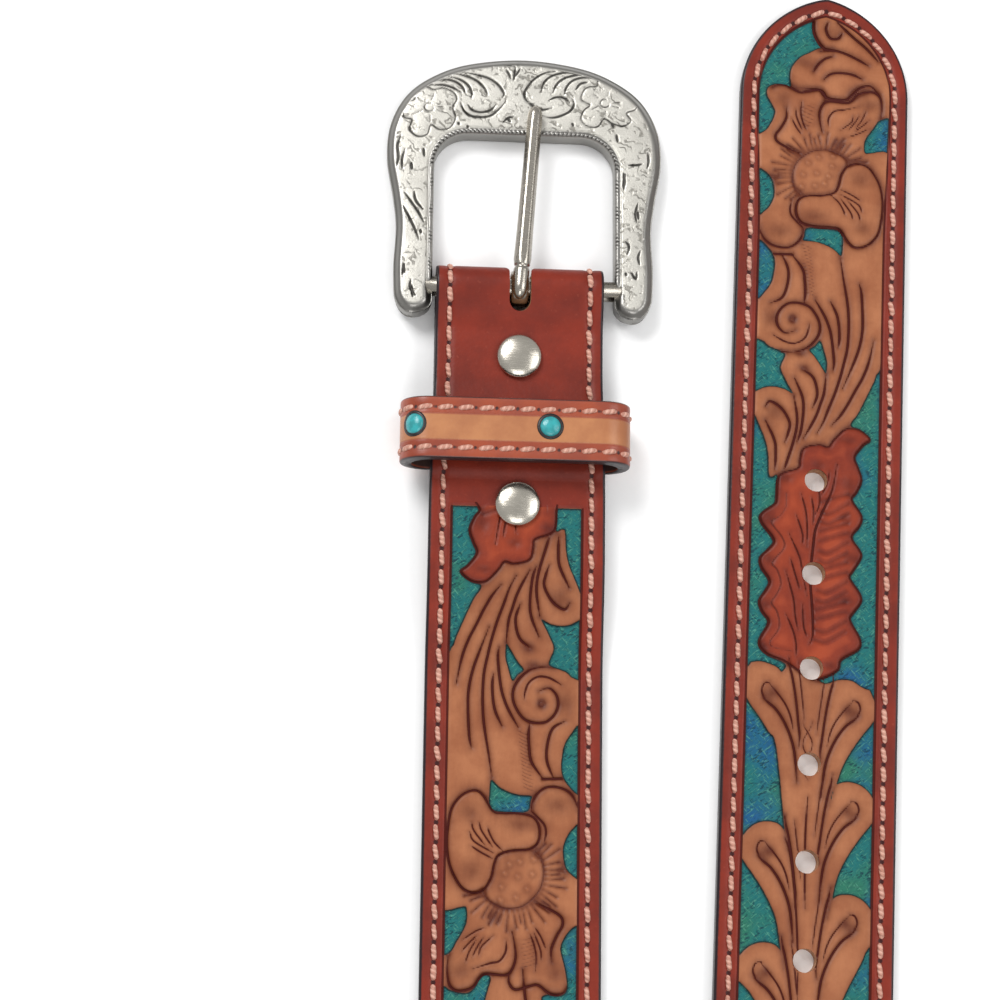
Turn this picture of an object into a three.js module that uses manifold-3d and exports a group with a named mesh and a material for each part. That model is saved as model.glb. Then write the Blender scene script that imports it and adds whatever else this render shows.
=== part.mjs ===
// A western tooled leather belt, unbuckled, lying with its face up.
// Millimetres, +Z up. While it is built, the fold's edge is at y = 0, the
// buckle run goes to -Y, turns in a loop that stands on its edge, and the tip
// run comes back beside it. At the end all moves to the middle of its base.
import * as THREE from 'three';
import { mergeVertices } from 'three/addons/utils/BufferGeometryUtils.js';
import Module from 'manifold-3d';

const wasm = await Module();
wasm.setup();

// Strap
const strapLength = 1085;
const strapWidth = 39.5;
const foldWidth = 38;
const strapThickness = 3.6;
const edgeEase = 0.6;
const tipLength = 24;
const tipRadius = 3.5;

// Holes for the prong, counted from the tip
const holeDiameter = 5.2;
const holeCount = 7;
const firstHole = 116.5;
const holePitch = 21.5;

// Lie of the strap
const tipLead = 70.5;
const loopSpacing = 54.3;
const loopBulge = 14;
const easeRadius = 120;
const rollLength = 145;
const tipLean = THREE.MathUtils.degToRad(2);

// Fold and flap
const flapLength = 67;
const flapThickness = 2.2;
const plyGap = 0.4;
const snapFoot = 1.2;
const runDown = 28;
const slotLength = 11;
const slotWidth = 4.9;
const slotFlare = 1.2;
const clearance = 0.3;

// Snaps, placed from the fold's edge
const snapPlaces = { snap_upper: 21.5, snap_lower: 55.5 };
const capDiameter = 10.1;
const capHeight = 2;
const capRim = 0.5;
const shankDiameter = 3.6;
const footThickness = 0.9;

// Keeper
const keeperPlace = 40.2;
const keeperWidth = 14;
const keeperSpan = 51.5;
const keeperShift = -0.8;
const keeperWall = 2.6;
const keeperBack = 1.6;
const keeperRoom = 5.2;

// Buckle frame and bar, measured from the bar's axis
const frameHalfWidth = 31.6;
const frameReach = 55.8;
const legReach = 6.9;
const openingHalfWidth = 20.8;
const openingReach = 36.7;
const openingCorner = 8;
const frameThickness = 5;
const frameBevel = 1.2;
const frameShift = 0.9;
const barDiameter = 4.6;

// Prong
const prongReach = 43.3;
const prongDiameter = 3.5;
const prongRoot = 3.9;
const ringThickness = 1.6;
const ringWidth = 4.2;
const prongLean = THREE.MathUtils.degToRad(4.2);

// The frame's outer edge on one side, from the leg's foot to the crown.
// across is a share of frameHalfWidth, along a share of frameReach.
const frameEdge = [
  { across: 0.934, along: -0.02 },
  { across: 0.938, along: 0.09 },
  { across: 0.926, along: 0.25 },
  { across: 0.952, along: 0.38 },
  { across: 1.0, along: 0.545 },
  { across: 0.98, along: 0.69 },
  { across: 0.87, along: 0.82 },
  { across: 0.68, along: 0.91 },
  { across: 0.41, along: 0.972 },
];

// Worked out
const halfWidth = strapWidth / 2;
const foldRadius = barDiameter / 2 + clearance;
const barHeight = foldRadius + flapThickness;
const barPlace = -barHeight;
const plyPlane = snapFoot + flapThickness + plyGap;
const quarterTurn = Math.PI / 2;

function easeBetween(value, start, end) {
  return THREE.MathUtils.smoothstep(value, start, end);
}

function solidOf(geometry) {
  const bare = geometry.clone();
  bare.deleteAttribute('normal');
  bare.deleteAttribute('uv');
  const merged = mergeVertices(bare, 1e-4);
  return new wasm.Manifold(new wasm.Mesh({
    numProp: 3,
    vertProperties: new Float32Array(merged.attributes.position.array),
    triVerts: new Uint32Array(merged.index.array),
  }));
}

function geometryOf(solid) {
  const mesh = solid.getMesh();
  const geometry = new THREE.BufferGeometry();
  geometry.setAttribute('position', new THREE.BufferAttribute(mesh.vertProperties, 3));
  geometry.setIndex(new THREE.BufferAttribute(mesh.triVerts, 1));
  geometry.computeVertexNormals();
  return geometry;
}

// How the strap lies, seen from above: length, turn and roll of each stretch.
// A turn to the left is positive. The roll tips the face outwards.
const loopRadius = loopSpacing / 2 + loopBulge;
const easeTurn = Math.acos((loopSpacing / 2 + easeRadius) / (easeRadius + loopRadius));
const loopTurn = Math.PI - tipLean + 2 * easeTurn;
const loopLength = 2 * easeRadius * easeTurn + loopRadius * loopTurn;
const buckleRun = (strapLength - loopLength - tipLead) / 2;
const layTable = [
  { length: buckleRun - rollLength, turn: 0, rollStart: 0, rollEnd: 0 },
  { length: rollLength, turn: 0, rollStart: 0, rollEnd: 1 },
  { length: easeRadius * easeTurn, turn: -easeTurn, rollStart: 1, rollEnd: 1 },
  { length: loopRadius * loopTurn, turn: loopTurn, rollStart: 1, rollEnd: 1 },
  { length: easeRadius * easeTurn, turn: -easeTurn, rollStart: 1, rollEnd: 1 },
  { length: rollLength, turn: 0, rollStart: 1, rollEnd: 0 },
  { length: buckleRun - rollLength + tipLead, turn: 0, rollStart: 0, rollEnd: 0 },
];

// The strap's lie at a distance from the fold: its place and its directions.
function layAt(distance) {
  let x = 0;
  let y = 0;
  let heading = -quarterTurn;
  let left = distance;
  let roll = 0;
  for (const row of layTable) {
    const step = Math.min(left, row.length);
    const turn = row.turn * step / row.length;
    const chord = turn === 0 ? step : 2 * step / turn * Math.sin(turn / 2);
    x += chord * Math.cos(heading + turn / 2);
    y += chord * Math.sin(heading + turn / 2);
    heading += turn;
    const share = easeBetween(step / row.length, 0, 1);
    roll = quarterTurn * (row.rollStart + (row.rollEnd - row.rollStart) * share);
    left -= step;
    if (left <= 0) break;
  }
  const sideways = new THREE.Vector3(-Math.sin(heading), Math.cos(heading), 0);
  const up = new THREE.Vector3(0, 0, 1);
  const across = sideways.clone().multiplyScalar(Math.cos(roll)).addScaledVector(up, Math.sin(roll));
  const normal = up.clone().multiplyScalar(Math.cos(roll)).addScaledVector(sideways, -Math.sin(roll));
  const flatCorner = (halfWidth - edgeEase) * Math.sin(roll) + strapThickness / 2 * Math.cos(roll);
  const edgeCorner = halfWidth * Math.sin(roll) + (strapThickness / 2 - edgeEase) * Math.cos(roll);
  const height = Math.max(flatCorner, edgeCorner);
  return { centre: new THREE.Vector3(x, y, height), across, normal };
}

// The tip's half width, by its distance from the point: a side arc that is
// tangent to the strap's edge and to the small arc at the point.
function tipHalfWidth(fromTip) {
  const rise = tipLength - tipRadius;
  const sideRadius = (halfWidth ** 2 + rise ** 2 - tipRadius ** 2) / (2 * (halfWidth - tipRadius));
  const meet = tipRadius - tipRadius * rise / (sideRadius - tipRadius);
  if (fromTip >= tipLength) return halfWidth;
  if (fromTip < meet) return Math.sqrt(tipRadius ** 2 - (tipRadius - fromTip) ** 2);
  return halfWidth - sideRadius + Math.sqrt(sideRadius ** 2 - (tipLength - fromTip) ** 2);
}

// Height of the flap's underside, by its distance from the fold's edge.
function flapUnder(place) {
  const footReach = capDiameter / 2 + clearance;
  const keeperReach = keeperWidth / 2 + clearance;
  const upperStart = snapPlaces.snap_upper - footReach;
  const upperEnd = snapPlaces.snap_upper + footReach;
  const lowerStart = snapPlaces.snap_lower - footReach;
  const rise = easeBetween(place, -barPlace, upperStart);
  const dip = easeBetween(place, upperEnd, keeperPlace - keeperReach);
  const back = easeBetween(place, keeperPlace + keeperReach, lowerStart);
  return snapFoot * (rise - dip + back);
}

// Height of the upper layer's underside, by its distance from the fold's edge.
function layerUnder(place) {
  const capReach = capDiameter / 2 + clearance;
  const keeperReach = keeperWidth / 2 + clearance;
  const upperStart = snapPlaces.snap_upper - capReach;
  const upperEnd = snapPlaces.snap_upper + capReach;
  const lowerStart = snapPlaces.snap_lower - capReach;
  const foldShare = 1 - easeBetween(place, -barPlace, upperStart);
  const rise = easeBetween(place, upperEnd, keeperPlace - keeperReach);
  const fall = easeBetween(place, keeperPlace + keeperReach, lowerStart);
  const foldTop = barHeight + foldRadius;
  const overKeeper = flapThickness + keeperBack + 2 * clearance;
  const level = plyPlane
    + (foldTop - plyPlane) * foldShare
    + (overKeeper - plyPlane) * (rise - fall);
  return level * (1 - easeBetween(place, flapLength, flapLength + runDown));
}

function layerThickness(place) {
  const end = snapPlaces.snap_upper - capDiameter / 2;
  return flapThickness + (strapThickness - flapThickness) * easeBetween(place, -barPlace, end);
}

// The upper layer widens from the fold's width to the strap's between the snaps.
function layerHalfWidth(place) {
  const share = easeBetween(place, snapPlaces.snap_upper, snapPlaces.snap_lower);
  return (foldWidth + (strapWidth - foldWidth) * share) / 2;
}

// One section of the strap: eight corners with eased edges.
function section({ centre, across, normal, width, thickness }) {
  const ease = Math.min(edgeEase, width / 2, thickness / 3);
  const half = thickness / 2;
  const corners = [
    [width, -half + ease],
    [width, half - ease],
    [width - ease, half],
    [-width + ease, half],
    [-width, half - ease],
    [-width, -half + ease],
    [-width + ease, -half],
    [width - ease, -half],
  ];
  return corners.map(([sideways, out]) => centre.clone()
    .addScaledVector(across, sideways)
    .addScaledVector(normal, out));
}

// A closed skin over a row of sections, with a flat end at each side.
function sweep(sections) {
  const sides = sections[0].length;
  const positions = sections.flat().flatMap((point) => [point.x, point.y, point.z]);
  const faces = [];
  for (let row = 0; row + 1 < sections.length; row += 1) {
    for (let side = 0; side < sides; side += 1) {
      const next = (side + 1) % sides;
      const here = row * sides;
      const there = here + sides;
      faces.push(here + side, here + next, there + next);
      faces.push(here + side, there + next, there + side);
    }
  }
  const last = (sections.length - 1) * sides;
  for (let side = 1; side + 1 < sides; side += 1) {
    faces.push(0, side + 1, side);
    faces.push(last, last + side, last + side + 1);
  }
  const geometry = new THREE.BufferGeometry();
  geometry.setAttribute('position', new THREE.Float32BufferAttribute(positions, 3));
  geometry.setIndex(faces);
  return geometry;
}

// Places from start to end, in even steps of about the length given.
function placesBetween(start, end, step) {
  const count = Math.max(1, Math.ceil(Math.abs(end - start) / step));
  return Array.from({ length: count + 1 }, (_, index) => start + (end - start) * index / count);
}

// A section of the flat layers at the buckle, with the slope of its middle line.
function layerSection(place, middle, width, thickness, facing) {
  const reach = 0.5;
  const slope = (middle(place - reach) - middle(place + reach)) / (2 * reach);
  const tilt = Math.atan(slope);
  return section({
    centre: new THREE.Vector3(0, -place, middle(place)),
    across: new THREE.Vector3(1, 0, 0),
    normal: new THREE.Vector3(0, -Math.sin(tilt) * facing, Math.cos(tilt) * facing),
    width,
    thickness,
  });
}

function strapSections() {
  const fineStep = 2;
  const flapMiddle = (place) => flapUnder(place) + flapThickness / 2;
  const layerMiddle = (place) => layerUnder(place) + layerThickness(place) / 2;
  const buildEnd = flapLength + runDown;
  const sections = placesBetween(flapLength, -barPlace, fineStep)
    .map((place) => layerSection(place, flapMiddle, foldWidth / 2, flapThickness, -1));
  const foldSteps = 12;
  for (let step = 1; step < foldSteps; step += 1) {
    const angle = -quarterTurn + Math.PI * step / foldSteps;
    const out = new THREE.Vector3(0, Math.cos(angle), Math.sin(angle));
    sections.push(section({
      centre: new THREE.Vector3(0, barPlace, barHeight)
        .addScaledVector(out, foldRadius + flapThickness / 2),
      across: new THREE.Vector3(1, 0, 0),
      normal: out,
      width: foldWidth / 2,
      thickness: flapThickness,
    }));
  }
  for (const place of placesBetween(-barPlace, buildEnd, fineStep)) {
    sections.push(layerSection(place, layerMiddle, layerHalfWidth(place), layerThickness(place), 1));
  }
  const turnStep = 5;
  const tipStep = 1.6;
  const tipEnd = 0.2;
  let start = 0;
  for (const row of layTable) {
    const from = Math.max(start, buildEnd);
    const to = Math.min(start + row.length, strapLength - tipLength);
    const moves = row.turn !== 0 || row.rollStart !== row.rollEnd;
    const step = moves ? turnStep : row.length;
    for (const place of placesBetween(from, to, step).slice(1)) {
      sections.push(section({ ...layAt(place), width: halfWidth, thickness: strapThickness }));
    }
    start += row.length;
  }
  for (const fromTip of placesBetween(tipLength, tipEnd, tipStep).slice(1)) {
    sections.push(section({
      ...layAt(strapLength - fromTip),
      width: tipHalfWidth(fromTip),
      thickness: strapThickness,
    }));
  }
  return sections;
}

function uprightCylinder(diameter, height, sides) {
  return new THREE.CylinderGeometry(diameter / 2, diameter / 2, height, sides).rotateX(quarterTurn);
}

// The prong's slot: a round end inside the fold and a flared mouth at its edge.
function slotCutter() {
  const half = slotWidth / 2;
  const outline = new THREE.Shape();
  outline.moveTo(half + slotFlare, clearance);
  outline.quadraticCurveTo(half, -slotFlare, half, -2 * slotFlare);
  outline.lineTo(half, -slotLength + half);
  outline.absarc(0, -slotLength + half, half, 0, Math.PI, true);
  outline.lineTo(-half, -2 * slotFlare);
  outline.quadraticCurveTo(-half, -slotFlare, -half - slotFlare, clearance);
  const depth = 4 * barHeight;
  return new THREE.ExtrudeGeometry(outline, { depth, bevelEnabled: false, curveSegments: 6 })
    .translate(0, 0, -depth / 4);
}

function strapGeometry() {
  let strap = solidOf(sweep(strapSections()));
  strap = strap.subtract(solidOf(slotCutter()));
  const tall = 4 * barHeight;
  for (const place of Object.values(snapPlaces)) {
    const cutter = uprightCylinder(shankDiameter + 2 * clearance, tall, 16).translate(0, -place, 0);
    strap = strap.subtract(solidOf(cutter));
  }
  for (let hole = 0; hole < holeCount; hole += 1) {
    const { centre } = layAt(strapLength - firstHole - hole * holePitch);
    const cutter = uprightCylinder(holeDiameter, tall, 20).translate(centre.x, centre.y, centre.z);
    strap = strap.subtract(solidOf(cutter));
  }
  return geometryOf(strap);
}

// A snap: its foot under the flap, its shank and its domed cap.
function snapGeometry(place) {
  const capBase = layerUnder(place) + layerThickness(place) + clearance;
  const capRadius = capDiameter / 2;
  const domeSteps = 5;
  const profile = [
    new THREE.Vector2(0, 0),
    new THREE.Vector2(capRadius, 0),
    new THREE.Vector2(capRadius, footThickness),
    new THREE.Vector2(shankDiameter / 2, footThickness),
    new THREE.Vector2(shankDiameter / 2, capBase),
    new THREE.Vector2(capRadius, capBase),
  ];
  for (let step = 0; step <= domeSteps; step += 1) {
    const angle = quarterTurn * step / domeSteps;
    const radius = step === domeSteps ? 0 : capRadius * Math.cos(angle);
    profile.push(new THREE.Vector2(radius, capBase + capRim + (capHeight - capRim) * Math.sin(angle)));
  }
  return new THREE.LatheGeometry(profile, 24).rotateX(quarterTurn);
}

function roundedBox(path, left, right, bottom, top, radius) {
  path.moveTo(left + radius, bottom);
  path.lineTo(right - radius, bottom);
  path.absarc(right - radius, bottom + radius, radius, -quarterTurn, 0, false);
  path.lineTo(right, top - radius);
  path.absarc(right - radius, top - radius, radius, 0, quarterTurn, false);
  path.lineTo(left + radius, top);
  path.absarc(left + radius, top - radius, radius, quarterTurn, Math.PI, false);
  path.lineTo(left, bottom + radius);
  path.absarc(left + radius, bottom + radius, radius, Math.PI, 3 * quarterTurn, false);
  return path;
}

// The keeper: a closed band round the upper layer, its back under that layer.
function keeperGeometry() {
  const back = flapThickness + clearance;
  const innerBack = back + keeperBack;
  const innerFront = innerBack + clearance + strapThickness + keeperRoom;
  const front = innerFront + keeperWall;
  const half = keeperSpan / 2;
  const outerRadius = (front - back) * 0.47;
  const innerRadius = outerRadius - keeperBack;
  const band = roundedBox(new THREE.Shape(), -half, half, back, front, outerRadius);
  const inside = half - keeperWall;
  band.holes.push(roundedBox(new THREE.Path(), -inside, inside, innerBack, innerFront, innerRadius));
  return new THREE.ExtrudeGeometry(band, { depth: keeperWidth, bevelEnabled: false, curveSegments: 8 })
    .rotateX(quarterTurn);
}

function frameOutline() {
  const right = frameEdge.map((row) => new THREE.Vector2(
    row.across * frameHalfWidth,
    row.along * frameReach,
  ));
  const left = right.map((point) => new THREE.Vector2(-point.x, point.y));
  const foot = right[0];
  const footMiddle = (foot.x + openingHalfWidth) / 2;
  const innerFoot = -legReach / 2;
  const outline = new THREE.Shape();
  outline.moveTo(-openingHalfWidth, innerFoot);
  outline.quadraticCurveTo(-openingHalfWidth, -legReach, -footMiddle, -legReach);
  outline.quadraticCurveTo(-foot.x, -legReach, -foot.x, foot.y);
  outline.splineThru([...left.slice(1), new THREE.Vector2(0, frameReach), ...right.slice().reverse()]);
  outline.quadraticCurveTo(foot.x, -legReach, footMiddle, -legReach);
  outline.quadraticCurveTo(openingHalfWidth, -legReach, openingHalfWidth, innerFoot);
  outline.lineTo(openingHalfWidth, openingReach - openingCorner);
  outline.quadraticCurveTo(openingHalfWidth, openingReach, openingHalfWidth - openingCorner, openingReach);
  outline.lineTo(-openingHalfWidth + openingCorner, openingReach);
  outline.quadraticCurveTo(-openingHalfWidth, openingReach, -openingHalfWidth, openingReach - openingCorner);
  return outline;
}

// The frame with its bar, about the bar's axis.
function frameGeometry() {
  const depth = frameThickness - 2 * frameBevel;
  const casting = new THREE.ExtrudeGeometry(frameOutline(), {
    depth,
    curveSegments: 5,
    bevelThickness: frameBevel,
    bevelSize: frameBevel,
    bevelOffset: -frameBevel,
    bevelSegments: 2,
  }).translate(0, 0, -depth / 2);
  const barLength = 2 * openingHalfWidth + frameThickness;
  const bar = new THREE.CylinderGeometry(barDiameter / 2, barDiameter / 2, barLength, 20)
    .rotateZ(quarterTurn);
  return geometryOf(solidOf(casting).add(solidOf(bar)));
}

// The frame lies on its crown: its tilt from the bar down to the floor.
const frameTilt = -Math.asin((barHeight - frameThickness / 2) / frameReach);

// The prong: a ring on the bar and a tapered rod that rests on the frame.
function prongGeometry() {
  const ringInner = barDiameter / 2 + clearance;
  const ringOuter = ringInner + ringThickness;
  const rodHeight = ringInner + ringThickness / 2;
  const seat = openingReach * Math.tan(frameTilt) + frameThickness / 2 / Math.cos(frameTilt);
  const pitch = Math.atan((seat + clearance + prongDiameter / 2 - rodHeight) / openingReach);
  const ringShape = new THREE.Shape();
  ringShape.absarc(0, 0, ringOuter, 0, 2 * Math.PI, false);
  const ring = new THREE.ExtrudeGeometry(ringShape, { depth: ringWidth, bevelEnabled: false, curveSegments: 12 })
    .translate(0, 0, -ringWidth / 2)
    .rotateY(quarterTurn);
  const tipRound = prongDiameter / 2;
  const profile = [
    new THREE.Vector2(0, 0),
    new THREE.Vector2(prongRoot / 2, 0),
    new THREE.Vector2(prongRoot / 2, ringOuter),
    new THREE.Vector2(tipRound, 2 * ringOuter),
    new THREE.Vector2(tipRound, prongReach - tipRound),
    new THREE.Vector2(tipRound * Math.SQRT1_2, prongReach - tipRound * (1 - Math.SQRT1_2)),
    new THREE.Vector2(0, prongReach),
  ];
  const rod = new THREE.LatheGeometry(profile, 14)
    .rotateX(pitch)
    .rotateZ(-prongLean)
    .translate(0, 0, rodHeight);
  const bore = new THREE.CylinderGeometry(ringInner, ringInner, 2 * ringWidth, 24).rotateZ(quarterTurn);
  return geometryOf(solidOf(ring).add(solidOf(rod)).subtract(solidOf(bore)));
}

function piece(name, geometry, color, roughness, metalness) {
  const material = new THREE.MeshStandardMaterial({ color, roughness, metalness });
  const mesh = new THREE.Mesh(geometry, material);
  mesh.name = name;
  return mesh;
}

const leather = '#8c3a26';
const keeperLeather = '#b9764f';
const nickel = '#c8c3b9';

const belt = new THREE.Group();
belt.add(piece('strap', strapGeometry(), leather, 0.5, 0));

const keeper = piece('keeper', keeperGeometry(), keeperLeather, 0.5, 0);
keeper.position.set(keeperShift, -keeperPlace + keeperWidth / 2, 0);
belt.add(keeper);

for (const [name, place] of Object.entries(snapPlaces)) {
  const snap = piece(name, snapGeometry(place), nickel, 0.3, 1);
  snap.position.set(0, -place, 0);
  belt.add(snap);
}

const bar = new THREE.Group();
bar.position.set(0, barPlace, barHeight);
const frame = piece('buckle_frame', frameGeometry(), nickel, 0.35, 1);
frame.position.x = frameShift;
frame.rotation.x = frameTilt;
bar.add(frame);
bar.add(piece('prong', prongGeometry(), nickel, 0.3, 1));
belt.add(bar);

// Move the middle of the belt's base to the origin.
const box = new THREE.Box3().setFromObject(belt);
const middle = box.getCenter(new THREE.Vector3());
belt.position.set(-middle.x, -middle.y, -box.min.z);

export default belt;
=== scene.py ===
# The looks of a western tooled belt, laid face up: carved and painted leather with its
# stitching, an engraved buckle frame, a prong, two snaps and a keeper with turquoise dots.
# Sizes are in millimetres until a mesh is made. A place on the strap is given by its
# distance from the fold (along), its distance from the middle line (across) and its
# height over the leather's face (out).
import math

import bpy
import numpy as np
from mathutils import Matrix, Vector


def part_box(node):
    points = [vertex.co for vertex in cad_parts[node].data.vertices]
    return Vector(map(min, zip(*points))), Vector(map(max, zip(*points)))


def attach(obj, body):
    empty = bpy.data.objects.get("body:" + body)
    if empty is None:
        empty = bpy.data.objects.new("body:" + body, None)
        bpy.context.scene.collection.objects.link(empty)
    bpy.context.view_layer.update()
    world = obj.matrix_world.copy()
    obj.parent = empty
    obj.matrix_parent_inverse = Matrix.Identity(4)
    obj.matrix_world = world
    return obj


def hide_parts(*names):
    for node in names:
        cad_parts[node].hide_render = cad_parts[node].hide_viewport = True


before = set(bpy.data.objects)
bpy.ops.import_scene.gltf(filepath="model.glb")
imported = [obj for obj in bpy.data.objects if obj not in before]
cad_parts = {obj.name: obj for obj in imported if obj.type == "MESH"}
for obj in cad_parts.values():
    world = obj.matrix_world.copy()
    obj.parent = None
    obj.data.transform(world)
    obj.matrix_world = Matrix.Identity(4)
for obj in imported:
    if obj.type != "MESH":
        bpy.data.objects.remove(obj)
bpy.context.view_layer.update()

MM = 0.001
chance = np.random.default_rng(7)

# Strap
STRAP_LENGTH = 1085.0
STRAP_HALF = 19.75
FOLD_HALF = 19.0
THICKNESS = 3.6
TIP_LENGTH = 24.0
TIP_RADIUS = 3.5
EDGE_EASE = 0.6
HOLE_RADIUS = 2.6
HOLE_COUNT = 7
FIRST_HOLE = 116.5
HOLE_PITCH = 21.5

# Lie of the strap
TIP_LEAD = 70.5
LOOP_SPACING = 54.3
LOOP_BULGE = 14.0
EASE_RADIUS = 120.0
ROLL_LENGTH = 145.0
TIP_LEAN = math.radians(2)

# Fold and flap
FLAP_LENGTH = 67.0
FLAP_THICKNESS = 2.2
PLY_GAP = 0.4
SNAP_FOOT = 1.2
RUN_DOWN = 28.0
SLOT_LENGTH = 11.0
SLOT_HALF = 2.45
SLOT_FLARE = 1.2
CLEARANCE = 0.3
BAR_RADIUS = 2.3

# Snaps and keeper, placed from the fold's edge
UPPER_SNAP = 21.5
LOWER_SNAP = 55.5
CAP_RADIUS = 5.05
CAP_HEIGHT = 2.0
CAP_RIM = 0.5
KEEPER_PLACE = 40.2
KEEPER_WIDTH = 14.0
KEEPER_SPAN = 51.5
KEEPER_SHIFT = -0.8
KEEPER_WALL = 2.6
KEEPER_BACK = 1.6
KEEPER_ROOM = 5.2
KEEPER_STITCHES = 26
KEEPER_LINES = (-4.6, 4.5)

# Worked out
BAR_HEIGHT = BAR_RADIUS + CLEARANCE + FLAP_THICKNESS
FOLD_RADIUS = BAR_HEIGHT
PLY_PLANE = SNAP_FOOT + FLAP_THICKNESS + PLY_GAP
FOLD_ARC = math.pi * FOLD_RADIUS
FLAP_START = BAR_HEIGHT - FOLD_ARC
FLAP_END = FLAP_START - (FLAP_LENGTH - BAR_HEIGHT)

snap_low, snap_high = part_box("snap_upper")
ORIGIN = np.array([
    (snap_low.x + snap_high.x) / 2 / MM,
    (snap_low.y + snap_high.y) / 2 / MM + UPPER_SNAP,
    0.0,
])


def ease(value, start, end):
    share = np.clip((value - start) / (end - start), 0, 1)
    return share * share * (3 - 2 * share)


# Lie of the strap, worked out once in fine steps and looked up afterwards

def flap_under(place):
    rise = ease(place, BAR_HEIGHT, UPPER_SNAP - CAP_RADIUS - CLEARANCE)
    dip = ease(place, UPPER_SNAP + CAP_RADIUS + CLEARANCE, KEEPER_PLACE - KEEPER_WIDTH / 2 - CLEARANCE)
    back = ease(place, KEEPER_PLACE + KEEPER_WIDTH / 2 + CLEARANCE, LOWER_SNAP - CAP_RADIUS - CLEARANCE)
    return SNAP_FOOT * (rise - dip + back)


def layer_under(place):
    fold_share = 1 - ease(place, BAR_HEIGHT, UPPER_SNAP - CAP_RADIUS - CLEARANCE)
    rise = ease(place, UPPER_SNAP + CAP_RADIUS + CLEARANCE, KEEPER_PLACE - KEEPER_WIDTH / 2 - CLEARANCE)
    fall = ease(place, KEEPER_PLACE + KEEPER_WIDTH / 2 + CLEARANCE, LOWER_SNAP - CAP_RADIUS - CLEARANCE)
    fold_top = BAR_HEIGHT + BAR_RADIUS + CLEARANCE
    over_keeper = FLAP_THICKNESS + KEEPER_BACK + 2 * CLEARANCE
    level = PLY_PLANE + (fold_top - PLY_PLANE) * fold_share + (over_keeper - PLY_PLANE) * (rise - fall)
    return level * (1 - ease(place, FLAP_LENGTH, FLAP_LENGTH + RUN_DOWN))


def layer_thickness(place):
    share = ease(place, BAR_HEIGHT, UPPER_SNAP - CAP_RADIUS)
    return FLAP_THICKNESS + (THICKNESS - FLAP_THICKNESS) * share


def lie_rows():
    """The strap's stretches seen from above: length, turn, and roll at both ends."""
    radius = LOOP_SPACING / 2 + LOOP_BULGE
    ease_turn = math.acos((LOOP_SPACING / 2 + EASE_RADIUS) / (EASE_RADIUS + radius))
    loop_turn = math.pi - TIP_LEAN + 2 * ease_turn
    loop_length = 2 * EASE_RADIUS * ease_turn + radius * loop_turn
    run = (STRAP_LENGTH - loop_length - TIP_LEAD) / 2
    return [
        (run - ROLL_LENGTH, 0.0, 0, 0),
        (ROLL_LENGTH, 0.0, 0, 1),
        (EASE_RADIUS * ease_turn, -ease_turn, 1, 1),
        (radius * loop_turn, loop_turn, 1, 1),
        (EASE_RADIUS * ease_turn, -ease_turn, 1, 1),
        (ROLL_LENGTH, 0.0, 1, 0),
        (run - ROLL_LENGTH + TIP_LEAD, 0.0, 0, 0),
    ]


def lie_of_runs(places):
    """Face points, across and out directions of the strap beyond the folded layers."""
    point = np.zeros((len(places), 3))
    heading_here = np.zeros(len(places))
    roll = np.zeros(len(places))
    x, y, heading, start = 0.0, 0.0, -math.pi / 2, 0.0
    for length, turn, roll_start, roll_end in lie_rows():
        here = places >= start
        step = np.clip(places[here] - start, 0, length)
        part = turn * step / length
        chord = step * np.sinc(part / 2 / math.pi)
        point[here, 0] = x + chord * np.cos(heading + part / 2)
        point[here, 1] = y + chord * np.sin(heading + part / 2)
        heading_here[here] = heading + part
        roll[here] = math.pi / 2 * (roll_start + (roll_end - roll_start) * ease(step / length, 0, 1))
        full = length * np.sinc(turn / 2 / math.pi)
        x += full * math.cos(heading + turn / 2)
        y += full * math.sin(heading + turn / 2)
        heading += turn
        start += length
    zero = np.zeros(len(places))
    sideways = np.stack([-np.sin(heading_here), np.cos(heading_here), zero], 1)
    up = np.array([0.0, 0.0, 1.0])
    sine, cosine = np.sin(roll)[:, None], np.cos(roll)[:, None]
    across = sideways * cosine + up * sine
    out = up * cosine - sideways * sine
    flat = (STRAP_HALF - EDGE_EASE) * sine[:, 0] + THICKNESS / 2 * cosine[:, 0]
    edge = STRAP_HALF * sine[:, 0] + (THICKNESS / 2 - EDGE_EASE) * cosine[:, 0]
    point[:, 2] = np.maximum(flat, edge)
    return point + out * THICKNESS / 2, across, out


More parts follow.
